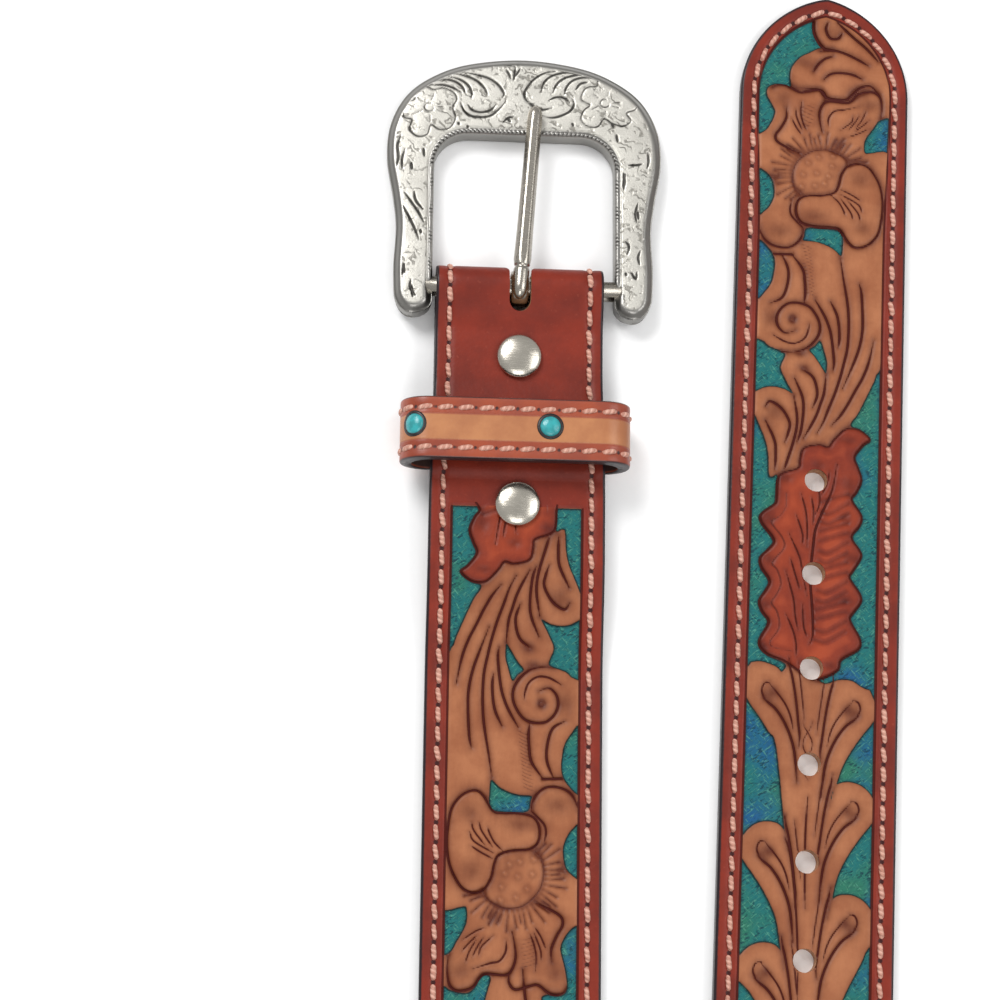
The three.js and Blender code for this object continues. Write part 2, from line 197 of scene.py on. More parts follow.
def lie_of_strap():
    """A fine table along the whole strap, from the flap's end to the tip."""
    places = np.arange(FLAP_END, STRAP_LENGTH + 0.25, 0.25)
    face, across, out = lie_of_runs(places)
    thick = np.full(len(places), THICKNESS)

    top = places < FLAP_LENGTH + RUN_DOWN
    height = layer_under(places) + layer_thickness(places)
    slope = np.gradient(height, places)
    length = np.hypot(1, slope)
    zero = np.zeros(len(places))
    layer = np.stack([zero, -places, height], 1)
    layer_out = np.stack([zero, slope / length, 1 / length], 1)
    face[top] = layer[top]
    out[top] = layer_out[top]
    thick[top] = layer_thickness(places)[top]

    fold = places < BAR_HEIGHT
    angle = math.pi / 2 - (BAR_HEIGHT - places) / FOLD_RADIUS
    turned = np.stack([zero, np.cos(angle), np.sin(angle)], 1)
    bend = np.array([0, -BAR_HEIGHT, BAR_HEIGHT]) + FOLD_RADIUS * turned
    face[fold] = bend[fold]
    out[fold] = turned[fold]

    under = places < FLAP_START
    place = BAR_HEIGHT + FLAP_START - places
    low = flap_under(place)
    low_slope = np.gradient(low, place)
    low_length = np.hypot(1, low_slope)
    flap = np.stack([zero, -place, low], 1)
    flap_out = np.stack([zero, -low_slope / low_length, -1 / low_length], 1)
    face[under] = flap[under]
    out[under] = flap_out[under]
    thick[fold] = FLAP_THICKNESS
    across[top] = (1.0, 0.0, 0.0)
    return places, face + ORIGIN, across, out, thick


LIE_PLACES, LIE_FACE, LIE_ACROSS, LIE_OUT, LIE_THICK = lie_of_strap()


def look_up(table, along):
    if table.ndim == 1:
        return np.interp(along, LIE_PLACES, table)
    return np.stack([np.interp(along, LIE_PLACES, table[:, axis]) for axis in range(3)], -1)


def on_strap(along, across, out):
    """Points in space from places on the strap, in millimetres."""
    along, across, out = np.broadcast_arrays(along, across, out)
    return (look_up(LIE_FACE, along)
            + look_up(LIE_ACROSS, along) * across[..., None]
            + look_up(LIE_OUT, along) * out[..., None])


def tip_half(from_tip):
    rise = TIP_LENGTH - TIP_RADIUS
    side = (STRAP_HALF ** 2 + rise ** 2 - TIP_RADIUS ** 2) / (2 * (STRAP_HALF - TIP_RADIUS))
    meet = TIP_RADIUS - TIP_RADIUS * rise / (side - TIP_RADIUS)
    small = np.sqrt(np.maximum(TIP_RADIUS ** 2 - (TIP_RADIUS - from_tip) ** 2, 0))
    large = STRAP_HALF - side + np.sqrt(np.maximum(side ** 2 - (TIP_LENGTH - from_tip) ** 2, 0))
    return np.where(from_tip >= TIP_LENGTH, STRAP_HALF, np.where(from_tip < meet, small, large))


def half_width(along):
    layer = FOLD_HALF + (STRAP_HALF - FOLD_HALF) * ease(along, UPPER_SNAP, LOWER_SNAP)
    return np.minimum(layer, tip_half(np.maximum(STRAP_LENGTH - along, 0)))


def from_edge(along, across):
    """Distance from the strap's edge, inwards, measured squarely at the tip too."""
    distance = half_width(along) - np.abs(across)
    near = along > STRAP_LENGTH - TIP_LENGTH - 8
    if near.any():
        back = np.concatenate([np.linspace(0, 1, 40) ** 2 * 4, np.linspace(4.3, TIP_LENGTH + 12, 80)])
        rim = np.stack([STRAP_LENGTH - back, tip_half(back)], 1)
        inside = np.abs(across) < half_width(along)
        gap = distance_to_line(rim, along[near], np.abs(across[near]))
        distance[near] = np.where(inside[near], gap, np.minimum(distance[near], 0))
    return distance


# Drawing helpers

def distance_to_line(points, first, second):
    """Distance of each place to a line through the points."""
    best = np.full(np.shape(first), 1e9)
    for (a0, b0), (a1, b1) in zip(points[:-1], points[1:]):
        da, db = a1 - a0, b1 - b0
        share = np.clip(((first - a0) * da + (second - b0) * db) / (da * da + db * db + 1e-12), 0, 1)
        best = np.minimum(best, np.hypot(first - a0 - share * da, second - b0 - share * db))
    return best


def inside_outline(points, first, second):
    inside = np.zeros(np.shape(first), bool)
    for (a0, b0), (a1, b1) in zip(points, np.roll(points, -1, axis=0)):
        if b0 == b1:
            continue
        crosses = (b0 > second) != (b1 > second)
        inside ^= crosses & (first < (a1 - a0) * (second - b0) / (b1 - b0) + a0)
    return inside


def flowing(points, closed=False, steps=4):
    """A smooth line through the points drawn."""
    points = np.asarray(points, float)
    if len(points) < 3:
        return points
    if closed:
        ring = np.concatenate([points[-1:], points, points[:2]])
    else:
        ring = np.concatenate([2 * points[:1] - points[1:2], points, 2 * points[-1:] - points[-2:-1]])
    shares = np.arange(steps)[:, None] / steps
    line = []
    for p0, p1, p2, p3 in zip(ring[:-3], ring[1:-2], ring[2:-1], ring[3:]):
        line.append(0.5 * (2 * p1 + (p2 - p0) * shares + (2 * p0 - 5 * p1 + 4 * p2 - p3) * shares ** 2
                           + (3 * p1 - p0 - 3 * p2 + p3) * shares ** 3))
    if not closed:
        line.append(points[-1:])
    return np.concatenate(line)


class Carving:
    """The tooling on a flat sheet. Each field tells how far a place lies inside a form."""

    CELL = 0.16
    FAR = -4.0

    def __init__(self, draw, start, end, half=16.0):
        self.draw = draw
        self.across = np.arange(-half, half + self.CELL, self.CELL)
        self.along = np.arange(start, end + self.CELL, self.CELL)
        shape = (len(self.along), len(self.across))
        self.fields = {name: np.full(shape, self.FAR) for name in ("ground", "leaf", "cut", "vein")}
        self.lift = np.zeros(shape)
        self.shade = np.zeros(shape)

    def window(self, points, reach):
        low, high = points.min(0) - reach, points.max(0) + reach
        columns = slice(*np.searchsorted(self.across, (low[0], high[0])))
        rows = slice(*np.searchsorted(self.along, (low[1], high[1])))
        across, along = np.meshgrid(self.across[columns], self.along[rows])
        return (rows, columns), across, along

    def raise_field(self, name, where, value):
        field = self.fields[name]
        field[where] = np.maximum(field[where], value)

    def line(self, name, points, width, taper=0.35):
        """A cut or a vein: widest in its middle, running out at its ends."""
        path = flowing(self.draw(points))
        where, across, along = self.window(path, 2.5)
        if across.size == 0:
            return
        count = len(path) - 1
        value = np.full(across.shape, self.FAR)
        for number in range(count):
            share = (number + 0.5) / count
            slim = min(1.0, 0.45 + share / taper, 0.45 + (1 - share) / taper)
            gap = distance_to_line(path[number:number + 2], across, along)
            value = np.maximum(value, width / 2 * slim - gap)
        self.raise_field(name, where, value)

    def cut(self, points, width=0.62):
        self.line("cut", points, width)

    def vein(self, points, width=0.3):
        self.line("vein", points, width)

    def groove(self, points, depth=0.2, width=0.7, shade=0.45):
        """A soft hollow along a line."""
        path = flowing(self.draw(points))
        where, across, along = self.window(path, 3 * width)
        if across.size == 0:
            return
        soft = np.exp(-(distance_to_line(path, across, along) / width) ** 2)
        self.lift[where] -= depth * soft
        self.shade[where] += shade * soft

    def form(self, points, swell=0.3, drop=0.3, outline=0.5):
        """A raised form: swollen inside its outline, with the leather bevelled down round it."""
        path = flowing(self.draw(points), closed=True)
        where, across, along = self.window(path, 3.5)
        gap = distance_to_line(np.concatenate([path, path[:1]]), across, along)
        inside = inside_outline(path, across, along)
        self.lift[where] += np.where(inside, swell * (1 - np.exp(-gap / 1.4)), -drop * np.exp(-gap / 0.9))
        self.shade[where] += np.where(inside, 0.25 * np.exp(-gap / 0.9), 0.75 * np.exp(-gap / 1.0))
        if outline:
            self.raise_field("cut", where, outline / 2 - gap)

    def region(self, name, points):
        path = flowing(self.draw(points), closed=True, steps=3)
        where, across, along = self.window(path, 3.5)
        if across.size == 0:
            return
        gap = distance_to_line(np.concatenate([path, path[:1]]), across, along)
        self.raise_field(name, where, np.where(inside_outline(path, across, along), gap, -gap))

    def dimple(self, x, y, wide, tall, depth=0.3, shade=0.8):
        """A thumbed hollow with a bruised, darker middle."""
        centre = self.draw([(x, y)])[0]
        corner = np.abs(self.draw([(x + wide, y + tall)])[0] - centre)
        box = np.array([centre - 2.4 * corner, centre + 2.4 * corner])
        where, across, along = self.window(box, 0)
        if across.size == 0:
            return
        soft = np.exp(-((across - centre[0]) / corner[0]) ** 2 - ((along - centre[1]) / corner[1]) ** 2)
        self.lift[where] -= depth * soft
        self.shade[where] += shade * soft

    def finish(self):
        """Adds what the cuts and the lowered ground do to the height and the stain."""
        cut, vein, ground = (self.fields[name] for name in ("cut", "vein", "ground"))
        self.lift -= 0.5 * np.clip((cut + 0.16) / 0.42, 0, 1)
        self.lift -= 0.2 * np.clip((vein + 0.1) / 0.22, 0, 1)
        self.lift -= 0.62 * ease(ground, -0.05, 0.4)
        self.shade += 0.55 * np.exp(np.minimum(cut, 0) / 0.8) + 0.3 * np.exp(np.minimum(vein, 0) / 0.45)
        self.shade += 0.55 * np.exp(-np.abs(np.minimum(ground, 0)) / 0.7) * (ground > self.FAR + 1)
        self.lift = np.clip(self.lift, -1.15, 0.42)
        return self

    def sample(self, field, across, along):
        """A field's value at any places, between its cells."""
        column = np.clip((across - self.across[0]) / self.CELL, 0, len(self.across) - 1.001)
        row = np.clip((along - self.along[0]) / self.CELL, 0, len(self.along) - 1.001)
        i, j = row.astype(int), column.astype(int)
        u, v = row - i, column - j
        return ((field[i, j] * (1 - v) + field[i, j + 1] * v) * (1 - u)
                + (field[i + 1, j] * (1 - v) + field[i + 1, j + 1] * v) * u)


# The drawing of the tooling, with the leaf's point up. Its points are pixels of the
# reference picture, of about a fifth of a millimetre each, and the last of them lie below
# its lower edge. The strap's middle line and width are given by rows.
PICTURE_ROWS = (0, 350, 680, 1000, 1160)
PICTURE_MIDDLE = (236.75, 240.75, 241.65, 232.2, 227.4)
PICTURE_WIDTH = (200, 206, 212, 218, 221)
LEAF_TOP = 20
PIXEL = 0.2045
FIRST_LEAF = 15.6
REPEAT = 226.9
UNIT_COUNT = 4
LAST_LEAF = STRAP_LENGTH - 161.7

# On the last repeat the picture's rows lie a little closer: their distances from the tip
TIP_ROWS = (-60, 20, 302, 430, 619, 738)
TIP_DISTANCES = (178.1, 161.7, 103.8, 78.9, 42.8, 22.0)


def drawn(points):
    x, y = np.asarray(points, float).T
    middle = np.interp(y, PICTURE_ROWS, PICTURE_MIDDLE)
    width = np.interp(y, PICTURE_ROWS, PICTURE_WIDTH)
    across = (x - middle) * 2 * STRAP_HALF / width
    return np.stack([across, (y - LEAF_TOP) * PIXEL], 1)


def drawn_at_tip(points):
    across = drawn(points)[:, 0]
    y = np.asarray(points, float)[:, 1]
    return np.stack([across, TIP_DISTANCES[1] - np.interp(y, TIP_ROWS, TIP_DISTANCES)], 1)


LEAF_OUTLINE = [
    (237, 19), (220, 22), (206, 31), (203, 42), (184, 54), (182, 66), (194, 86), (191, 94), (182, 107),
    (184, 117), (196, 133), (193, 140), (183, 157), (186, 166), (195, 179), (186, 192), (184, 204),
    (196, 221), (191, 229), (185, 244), (190, 259), (194, 270), (184, 284), (176, 291), (189, 301),
    (205, 301), (219, 288), (226, 279), (237, 281), (255, 276), (259, 262), (261, 253), (283, 243),
    (285, 217), (287, 211), (302, 199), (301, 189), (286, 171), (291, 161), (301, 150), (299, 139),
    (289, 125), (293, 114), (300, 102), (296, 90), (288, 79), (297, 61), (297, 52), (287, 43), (266, 36),
]
MIDRIB = [(241, 56), (237, 67), (238.5, 95), (241.5, 120), (242, 140), (240, 167), (238, 185), (230, 206),
          (220, 230), (215, 260)]
LEAF_LINE = [(261, 48), (281, 51), (286, 57), (276, 73), (279, 90), (286, 100), (281, 109), (276, 122),
             (281, 137), (287, 145), (274, 162), (277, 174), (290, 190), (281, 197), (274, 208), (274, 224)]
LEAF_VEINS = [
    [(255, 43), (256, 57), (260, 71), (269, 89)],
    [(254, 71), (258, 87), (261, 107), (271, 137)],
    [(244, 65), (248, 77), (250, 101)],
    [(245, 109), (252, 139), (256, 154), (269, 179)],
    [(254, 117), (259, 131), (266, 151)],
    [(247, 164), (249, 199), (256, 224)],
    [(253, 167), (253, 179), (261, 200)],
    [(241, 190), (241, 206), (244, 221)],
    [(239, 201), (234, 217), (239, 248)],
    [(233, 223), (226, 237), (224, 251)],
]
LEAF_DIMPLES = [(217, 35, 9, 5), (248, 37, 7, 5), (200, 108, 9, 5), (196, 155, 9, 6), (203, 199, 8, 6),
                (200, 238, 8, 10), (237, 258, 8, 6), (202, 288, 10, 5), (293, 52, 6, 5), (291, 98, 6, 6),
                (290, 148, 7, 6), (292, 194, 7, 6), (274, 240, 8, 6)]

SCROLL_GROUNDS = [
    [(150, 10), (170, 10), (180, 13), (191, 19), (206, 19), (220, 14), (230, 19), (222, 22), (206, 31),
     (203, 42),
     (184, 54), (182, 66), (194, 86), (191, 94), (182, 107), (184, 117), (196, 133), (193, 140), (183, 157),
     (186, 166), (195, 179), (186, 192), (184, 204), (196, 221), (191, 229), (185, 244), (190, 259),
     (194, 270),
     (184, 284), (176, 291), (189, 301), (200, 304), (199, 311), (193, 319), (183, 340), (174, 360),
     (168, 373),
     (150, 376)],
    [(271, 24), (276, 29), (291, 34), (306, 33), (335, 20), (335, 340), (318, 318), (309, 300), (300, 281),
     (296, 263), (294, 242), (284, 244), (285, 217), (287, 211), (302, 199), (301, 189), (286, 171),
     (291, 161),
     (301, 150), (299, 139), (289, 125), (293, 114), (300, 102), (296, 90), (288, 79), (297, 61), (297, 52),
     (287, 43), (266, 34)],
    [(270, 339), (281, 344), (294, 346), (306, 344), (322, 336), (336, 340), (336, 402), (311, 403),
     (301, 396),
     (283, 390), (281, 384), (286, 371), (281, 359), (276, 350)],
    [(231, 366), (230, 380), (233, 391), (239, 407), (246, 400), (253, 394), (246, 386), (237, 373)],
    [(336, 448), (318, 451), (309, 461), (301, 473), (298, 486), (297, 500), (300, 511), (306, 519),
     (318, 529),
     (336, 529)],
    [(216, 513), (226, 521), (237, 526), (249, 529), (264, 530), (263, 536), (260, 547), (241, 549),
     (219, 547),
     (214, 540), (214, 526)],
]
SCROLL_LINES = [
    [(223, 304), (213, 316), (204, 331), (196, 347), (187, 364), (180, 383), (174, 411)],
    [(211, 349), (199, 379), (193, 396), (189, 414), (188, 433), (190, 467), (193, 480)],
    [(240, 294), (233, 307), (227, 324), (220, 343), (214, 363), (210, 380), (206, 400), (205, 428),
     (207, 454),
     (213, 487), (217, 511)],
    [(223, 370), (222, 383), (226, 413), (231, 429), (237, 441), (247, 457)],
    [(217, 399), (216, 411), (217, 426), (220, 440), (228, 456)],
    [(256, 287), (247, 303), (241, 316), (237, 329), (233, 343), (231, 366)],
    [(246, 324), (241, 341), (246, 360), (258, 370)],
    [(263, 283), (259, 296), (257, 320), (259, 337), (269, 359)],
    [(277, 251), (274, 261), (266, 289), (264, 310), (269, 337)],
    [(278, 281), (274, 293), (273, 305), (283, 321), (297, 329), (303, 322)],
    [(288, 250), (288, 267), (290, 283), (302, 306)],
    [(301, 449), (287, 457), (281, 475), (281, 493), (289, 511)],
    [(260, 453), (259, 464), (260, 479), (263, 494), (276, 511)],
    [(276, 512), (299, 511)],
]
SCROLL_DIMPLES = [(258, 372, 10, 7), (292, 316, 10, 11), (262, 388, 8, 5), (303, 430, 9, 14)]
VOLUTE = [(286, 390), (271, 391), (260, 394), (250, 401), (243, 410), (240, 419), (241, 429), (246, 439),
          (253, 447), (263, 451), (276, 451), (284, 447), (290, 440), (293, 431), (291, 421), (284, 414),
          (277, 414), (270, 417)]
VOLUTE_LINE = [(253, 426), (254, 419), (257, 410), (263, 404), (271, 401), (281, 402), (290, 406), (297, 410)]
VOLUTE_EYE = (273.6, 430.7)

PETAL_PAIR = [
    (200, 526), (190, 527), (180, 533), (171, 545), (167, 564), (166, 586), (170, 607), (181, 626),
    (191, 633),
    (202, 634), (211, 629), (218, 617), (221, 604), (226, 594), (241, 589), (262, 587), (272, 579),
    (273, 564),
    (266, 553), (249, 549), (229, 549), (219, 547), (208, 532),
]
PETAL_ROUND = [(263, 546), (265, 536), (271, 527), (280, 521), (291, 520), (303, 523), (312, 530), (319, 544)]
PETAL_CRESCENT = [(263, 546), (271, 553), (279, 561), (281, 570), (279, 580)]
DISK_RIM = [(268, 588), (276, 597), (279, 609), (278, 621), (274, 631), (266, 640), (256, 647), (245, 650),
            (233, 650), (222, 646), (213, 640), (208, 632)]
PETAL_CUTS = [
    [(213, 565), (215, 571), (221, 581), (230, 589)],
    [(203, 560), (206, 569), (219, 586)],
    [(194, 560), (197, 569), (210, 584)],
    [(192, 570), (197, 580), (220, 592)],
    [(194, 585), (204, 591), (219, 598)],
    [(185, 684), (200, 675), (210, 671)],
    [(184, 696), (193, 687), (202, 679)],
    [(188, 708), (193, 696), (201, 684)],
    [(196, 702), (203, 690), (210, 681)],
    [(204, 700), (207, 691), (221, 679)],
    [(270, 716), (271, 700), (268, 686), (264, 677)],
    [(277, 704), (276, 693), (269, 676)],
    [(282, 691), (277, 680), (270, 670)],
]
PETAL_DIMPLES = [(191, 549, 12, 10), (251, 562, 18, 8), (195, 612, 13, 12), (293, 540, 16, 10),
                 (183, 717, 12, 9), (293, 718, 10, 10), (302, 608, 9, 13), (222, 660, 10, 9)]
PETAL_LOW_LINES = [
    [(271, 644), (286, 650), (300, 658), (302, 667), (296, 677), (289, 692), (289, 706)],
    [(239, 720), (239, 728), (246, 735), (263, 731), (273, 730), (287, 739), (300, 739), (307, 733)],
    [(169, 700), (167, 714), (169, 730), (177, 737), (189, 736), (198, 732), (205, 723), (213, 719),
     (234, 720),
     (242, 715), (247, 702), (246, 687), (243, 674)],
]
PETAL_SWELLS = [(218, 700, 16, 13), (262, 704, 13, 16), (186, 722, 12, 10), (293, 728, 11, 7)]
LOW_CURL = [(236, 683), (236, 693), (233, 700), (227, 706), (217, 708), (197, 714)]
FLOWER_GROUNDS = [
    [(340, 556), (321, 557), (313, 563), (306, 571), (301, 583), (301, 594), (304, 606), (310, 613),
     (322, 620),
     (340, 620)],
    [(190, 650), (183, 649), (166, 653), (148, 652), (148, 699), (169, 699), (179, 686), (190, 667)],
]
LOWER_GROUNDS = [
    [(340, 664), (320, 666), (311, 671), (303, 681), (299, 693), (304, 713), (306, 733), (299, 740),
     (287, 739),
     (276, 742), (279.5, 754), (287, 767), (296, 781), (306, 793), (320, 803), (340, 806)],
    [(203, 725), (209, 719), (216, 720), (218, 725), (215, 734), (209, 752), (200, 772), (191, 790),
     (182, 806),
     (170, 826), (161, 842), (142, 850), (142, 732), (163, 732), (170, 736), (188, 739), (197, 734)],
]
SEED_DISK = (243, 617, 36, 33)
SEEDS = [(239, 604), (251, 601), (267, 598), (234, 614), (249, 617), (266, 614), (230, 628), (260, 630),
         (247, 639), (229, 642)]


def carve_leaf(sheet):
    sheet.region("leaf", LEAF_OUTLINE)
    sheet.form(LEAF_OUTLINE, swell=0.22, drop=0.2, outline=0.5)
    sheet.cut(MIDRIB, 0.6)
    sheet.vein(LEAF_LINE, 0.36)
    for vein in LEAF_VEINS:
        sheet.cut(vein, 0.42)
    for row in range(62, 226, 11):
        lean = 4 * math.sin(row)
        sheet.groove([(237 - row / 40, row), (222, row + 1 + lean), (200, row + 11)], 0.3, 0.45, 0.75)
    for dimple in LEAF_DIMPLES:
        sheet.dimple(*dimple, depth=0.34, shade=0.85)


def carve_scroll(sheet):
    for ground in SCROLL_GROUNDS:
        sheet.region("ground", ground)
    for line in SCROLL_LINES:
        sheet.cut(line)
        sheet.groove(line, 0.16, 0.9, 0.22)
    sheet.cut(VOLUTE, 0.6)
    sheet.groove(VOLUTE, 0.22, 1.0, 0.35)
    sheet.cut(VOLUTE_LINE, 0.5)
    eye_x, eye_y = VOLUTE_EYE
    sheet.dimple(eye_x, eye_y, 7, 7, depth=0.4, shade=1.5)
    ring = [(eye_x + 2.6 * math.cos(turn), eye_y + 2.6 * math.sin(turn)) for turn in np.linspace(0, 5.4, 9)]
    sheet.vein(ring, 0.3)
    for dimple in SCROLL_DIMPLES:
        sheet.dimple(*dimple)
    for row in range(460, 524, 4):
        start = 246 + (row - 460) * 0.12
        sheet.vein([(start, row), (start + 6, row + 3), (start + 13, row + 5)], 0.17)


def carve_flower(sheet):
    for ground in FLOWER_GROUNDS:
        sheet.region("ground", ground)
    x, y, wide, tall = SEED_DISK
    for line in PETAL_LOW_LINES:
        sheet.cut(line, 0.6)
        sheet.groove(line, 0.24, 0.9, 0.4)
    for swell in PETAL_SWELLS:
        sheet.dimple(*swell, depth=-0.3, shade=0.0)
    sheet.cut(LOW_CURL, 0.5)
    sheet.cut(PETAL_ROUND, 0.55)
    sheet.groove(PETAL_ROUND, 0.24, 1.0, 0.4)
    sheet.cut(PETAL_CRESCENT, 0.5)
    sheet.vein(DISK_RIM, 0.34)
    sheet.groove(DISK_RIM, 0.24, 0.8, 0.6)
    for number, turn in enumerate(np.radians(np.arange(-46, 164, 8.4))):
        lean = 0.1 * math.sin(5 * number)
        reach = 1.5 + 0.26 * ((number * 7) % 5) / 4
        line = [(x + wide * share * math.cos(turn + lean * (share - 1)),
                 y + tall * share * math.sin(turn + lean * (share - 1))) for share in (1.08, 1.25, reach)]
        sheet.vein(line[1:], 0.2)
        sheet.groove(line, 0.3, 0.42, 0.55)
    for seed_x, seed_y in SEEDS:
        sheet.dimple(seed_x, seed_y, 5.2, 5.2, depth=0.34, shade=1.0)
        sheet.dimple(seed_x, seed_y, 2.6, 2.6, depth=-0.5, shade=-1.0)
    sheet.form(PETAL_PAIR, swell=0.34, drop=0.35, outline=0.55)
    for line in PETAL_CUTS:
        sheet.cut(line, 0.42)
    for dimple in PETAL_DIMPLES:
        sheet.dimple(*dimple)
    for row in range(684, 714, 4):
        sheet.vein([(254, row), (262, row - 2), (271, row - 5)], 0.16)


# The plume is a row of curling leaves either side of a stem. Each leaf is drawn from the
# row where it ends, and the stem's middle: pixels outwards, and pixels along.
PLUME_STEM = 239.0
PLUME_LEAVES = [(1, 842), (-1, 897), (1, 971), (-1, 1018), (1, 1143), (-1, 1128)]
LEAF_SIDE = [(15, -128), (17, -109), (20, -91), (26, -75), (34, -61), (44, -49), (54, -42), (60, -37)]
LEAF_CURL = [(58, -38), (62, -30), (59, -22), (52, -20)]
LEAF_FOLD = [(21, -72), (25, -57), (31, -45), (40, -34), (53, -21)]
LEAF_INNER = [(14, -90), (13, -78), (15, -64), (17, -49), (20, -31), (24, -13), (27, -3), (29, 8)]
LEAF_STREAK = [(8, -60), (11, -36), (14, -16), (17, 4)]
LEAF_FOOT = [(26, -26), (28, -12), (35, -3), (46, 0), (58, -1), (69, -6), (78, -15), (84, -26)]
LEAF_BACK = [(90, -22), (78, -42), (65, -57), (52, -74), (41, -92), (34, -110)]


def carve_plume(sheet):
    def leaf_points(side, end, shape):
        return [(plume_middle(end + down) + side * wide, end + down) for wide, down in shape]

    for number, (side, end) in enumerate(PLUME_LEAVES):
        sheet.cut(leaf_points(side, end, LEAF_SIDE), 0.6)
        sheet.cut(leaf_points(side, end, LEAF_CURL), 0.45)
        sheet.cut(leaf_points(side, end, LEAF_FOLD), 0.45)
        sheet.cut(leaf_points(side, end, LEAF_INNER), 0.55)
        sheet.cut(leaf_points(side, end, LEAF_STREAK), 0.4)
        sheet.groove(leaf_points(side, end, LEAF_SIDE), 0.2, 0.9, 0.35)
        sheet.groove(leaf_points(side, end, LEAF_INNER), 0.16, 0.9, 0.25)
        x, y = leaf_points(side, end, [(50, -33)])[0]
        sheet.dimple(x, y, 9, 8, depth=0.35, shade=0.95)
        later = [row for other, row in PLUME_LEAVES[number + 1:] if other == side]
        if later:
            outer = leaf_points(side, end, LEAF_FOOT + [(100, -30)])
            back = leaf_points(side, min(later), LEAF_BACK[:-1] if min(later) - end > 140 else LEAF_BACK)
            edge = leaf_points(side, min(later), [(100, -20)])
            sheet.region("ground", outer + edge + back)
    for line in ([(246, 790), (246, 842), (249, 895), (255, 940), (261, 955)],
                 [(237, 880), (237, 917), (236, 962), (233, 1000)]):
        sheet.cut(line, 0.5)
    rows = np.linspace(1018, 1082, 25)
    for side in (-1, 1):
        sheet.cut([(233 + side * 6 * math.sin((row - 1018) / 26 * math.pi), row) for row in rows], 0.34)


def plume_middle(row):
    return np.interp(row, PICTURE_ROWS, PICTURE_MIDDLE) - 0.5


# The curl at the tip, drawn with the tip up. Its points are pixels of the picture too.
TIP_POINT = (828.0, 1.4)
TIP_LEANING = 0.0334
TIP_PIXELS_ACROSS = 4.2
TIP_PIXEL_LENGTH = 0.251
TIP_GROUND = [
    (818, 8), (816, 23), (815, 34), (819, 43), (824, 49), (819, 51), (810, 56), (801, 61), (793, 71),
    (791, 81),
    (792, 91), (784, 89), (776, 89), (769, 93), (768, 100), (773, 109), (776, 117), (771, 129), (764, 137),
    (752, 138), (748, 100), (752, 70), (775, 40), (800, 15),
]
TIP_LINES = [
    [(839, 23), (853, 36), (867, 47), (879, 59)],
    [(829, 24), (827, 31), (831, 39), (839, 39), (843, 34)],
    [(821, 53), (834, 51), (847, 54), (859, 59), (869, 64)],
    [(814, 74), (819, 66), (826, 60), (834, 57)],
    [(824, 81), (831, 75), (841, 73), (853, 74), (863, 78)],
    [(792, 91), (810, 91), (820, 91), (824, 96), (831, 99), (846, 99), (853, 93), (861, 86), (871, 84),
     (879, 91)],
    [(816, 14), (815, 34), (824, 49), (834, 50)],
]


def tip_drawn(points):
    x, y = np.asarray(points, float).T
    middle = TIP_POINT[0] - TIP_LEANING * (y - TIP_POINT[1])
    along = TIP_DISTANCES[1] - (y - TIP_POINT[1]) * TIP_PIXEL_LENGTH
    return np.stack([-(x - middle) / TIP_PIXELS_ACROSS, along], 1)


def carve_tip_curl(sheet):
    unit, sheet.draw = sheet.draw, tip_drawn
    sheet.region("ground", TIP_GROUND)
    for line in TIP_LINES:
        sheet.cut(line, 0.6)
        sheet.groove(line, 0.2, 0.9, 0.35)
    sheet.dimple(836, 33, 7, 7, depth=0.3, shade=0.6)
    sheet.dimple(858, 92, 12, 7)
    sheet.dimple(806, 66, 10, 6)
    sheet.draw = unit


def carve_unit():
    sheet = Carving(drawn, -8, 242)
    carve_scroll(sheet)
    carve_leaf(sheet)
    carve_flower(sheet)
    for ground in LOWER_GROUNDS:
        sheet.region("ground", ground)
    carve_plume(sheet)
    return sheet.finish()


def carve_tip():
    sheet = Carving(drawn_at_tip, -12, 162)
    carve_scroll(sheet)
    carve_leaf(sheet)
    carve_flower(sheet)
    carve_tip_curl(sheet)
    return sheet.finish()


UNIT = carve_unit()
TIP = carve_tip()

# Border and stitching
BORDER = 5.15
STITCH_INSET = 3.1
STITCH_PITCH = 4.3
TOOLING_START = 56.0


def stitch_path(inset):
    """The stitch line round the strap, from the flap up one side, round the tip and back."""
    straight = np.arange(FLAP_END + 5, STRAP_LENGTH - TIP_LENGTH, 1.0)
    side = np.stack([straight, half_width(straight) - inset], 1)
    back = np.linspace(TIP_LENGTH, 0.02, 400)
    rim = np.stack([STRAP_LENGTH - back, tip_half(back)], 1)
    step = np.gradient(rim, axis=0)
    step /= np.linalg.norm(step, axis=1)[:, None]
    curve = rim + np.stack([step[:, 1], -step[:, 0]], 1) * inset
    curve = curve[curve[:, 1] > 0]
    right = np.concatenate([side, curve])
    left = right[::-1] * (1, -1)
    return np.concatenate([right, left])


def evenly(path, pitch):
    """Places and directions along a path, a pitch apart."""
    run = np.concatenate([[0], np.cumsum(np.linalg.norm(np.diff(path, axis=0), axis=1))])
    count = int(run[-1] // pitch)
    where = (np.arange(count) + 0.5) * run[-1] / count
    place = np.stack([np.interp(where, run, path[:, axis]) for axis in range(2)], 1)
    ahead = np.stack([np.interp(where + 0.3, run, path[:, axis]) for axis in range(2)], 1)
    behind = np.stack([np.interp(where - 0.3, run, path[:, axis]) for axis in range(2)], 1)
    direction = ahead - behind
    return place, direction / np.linalg.norm(direction, axis=1)[:, None]


STITCHES, STITCH_DIRECTIONS = evenly(stitch_path(STITCH_INSET), STITCH_PITCH)
STITCH_HOLES = STITCHES + STITCH_DIRECTIONS * STITCH_PITCH / 2


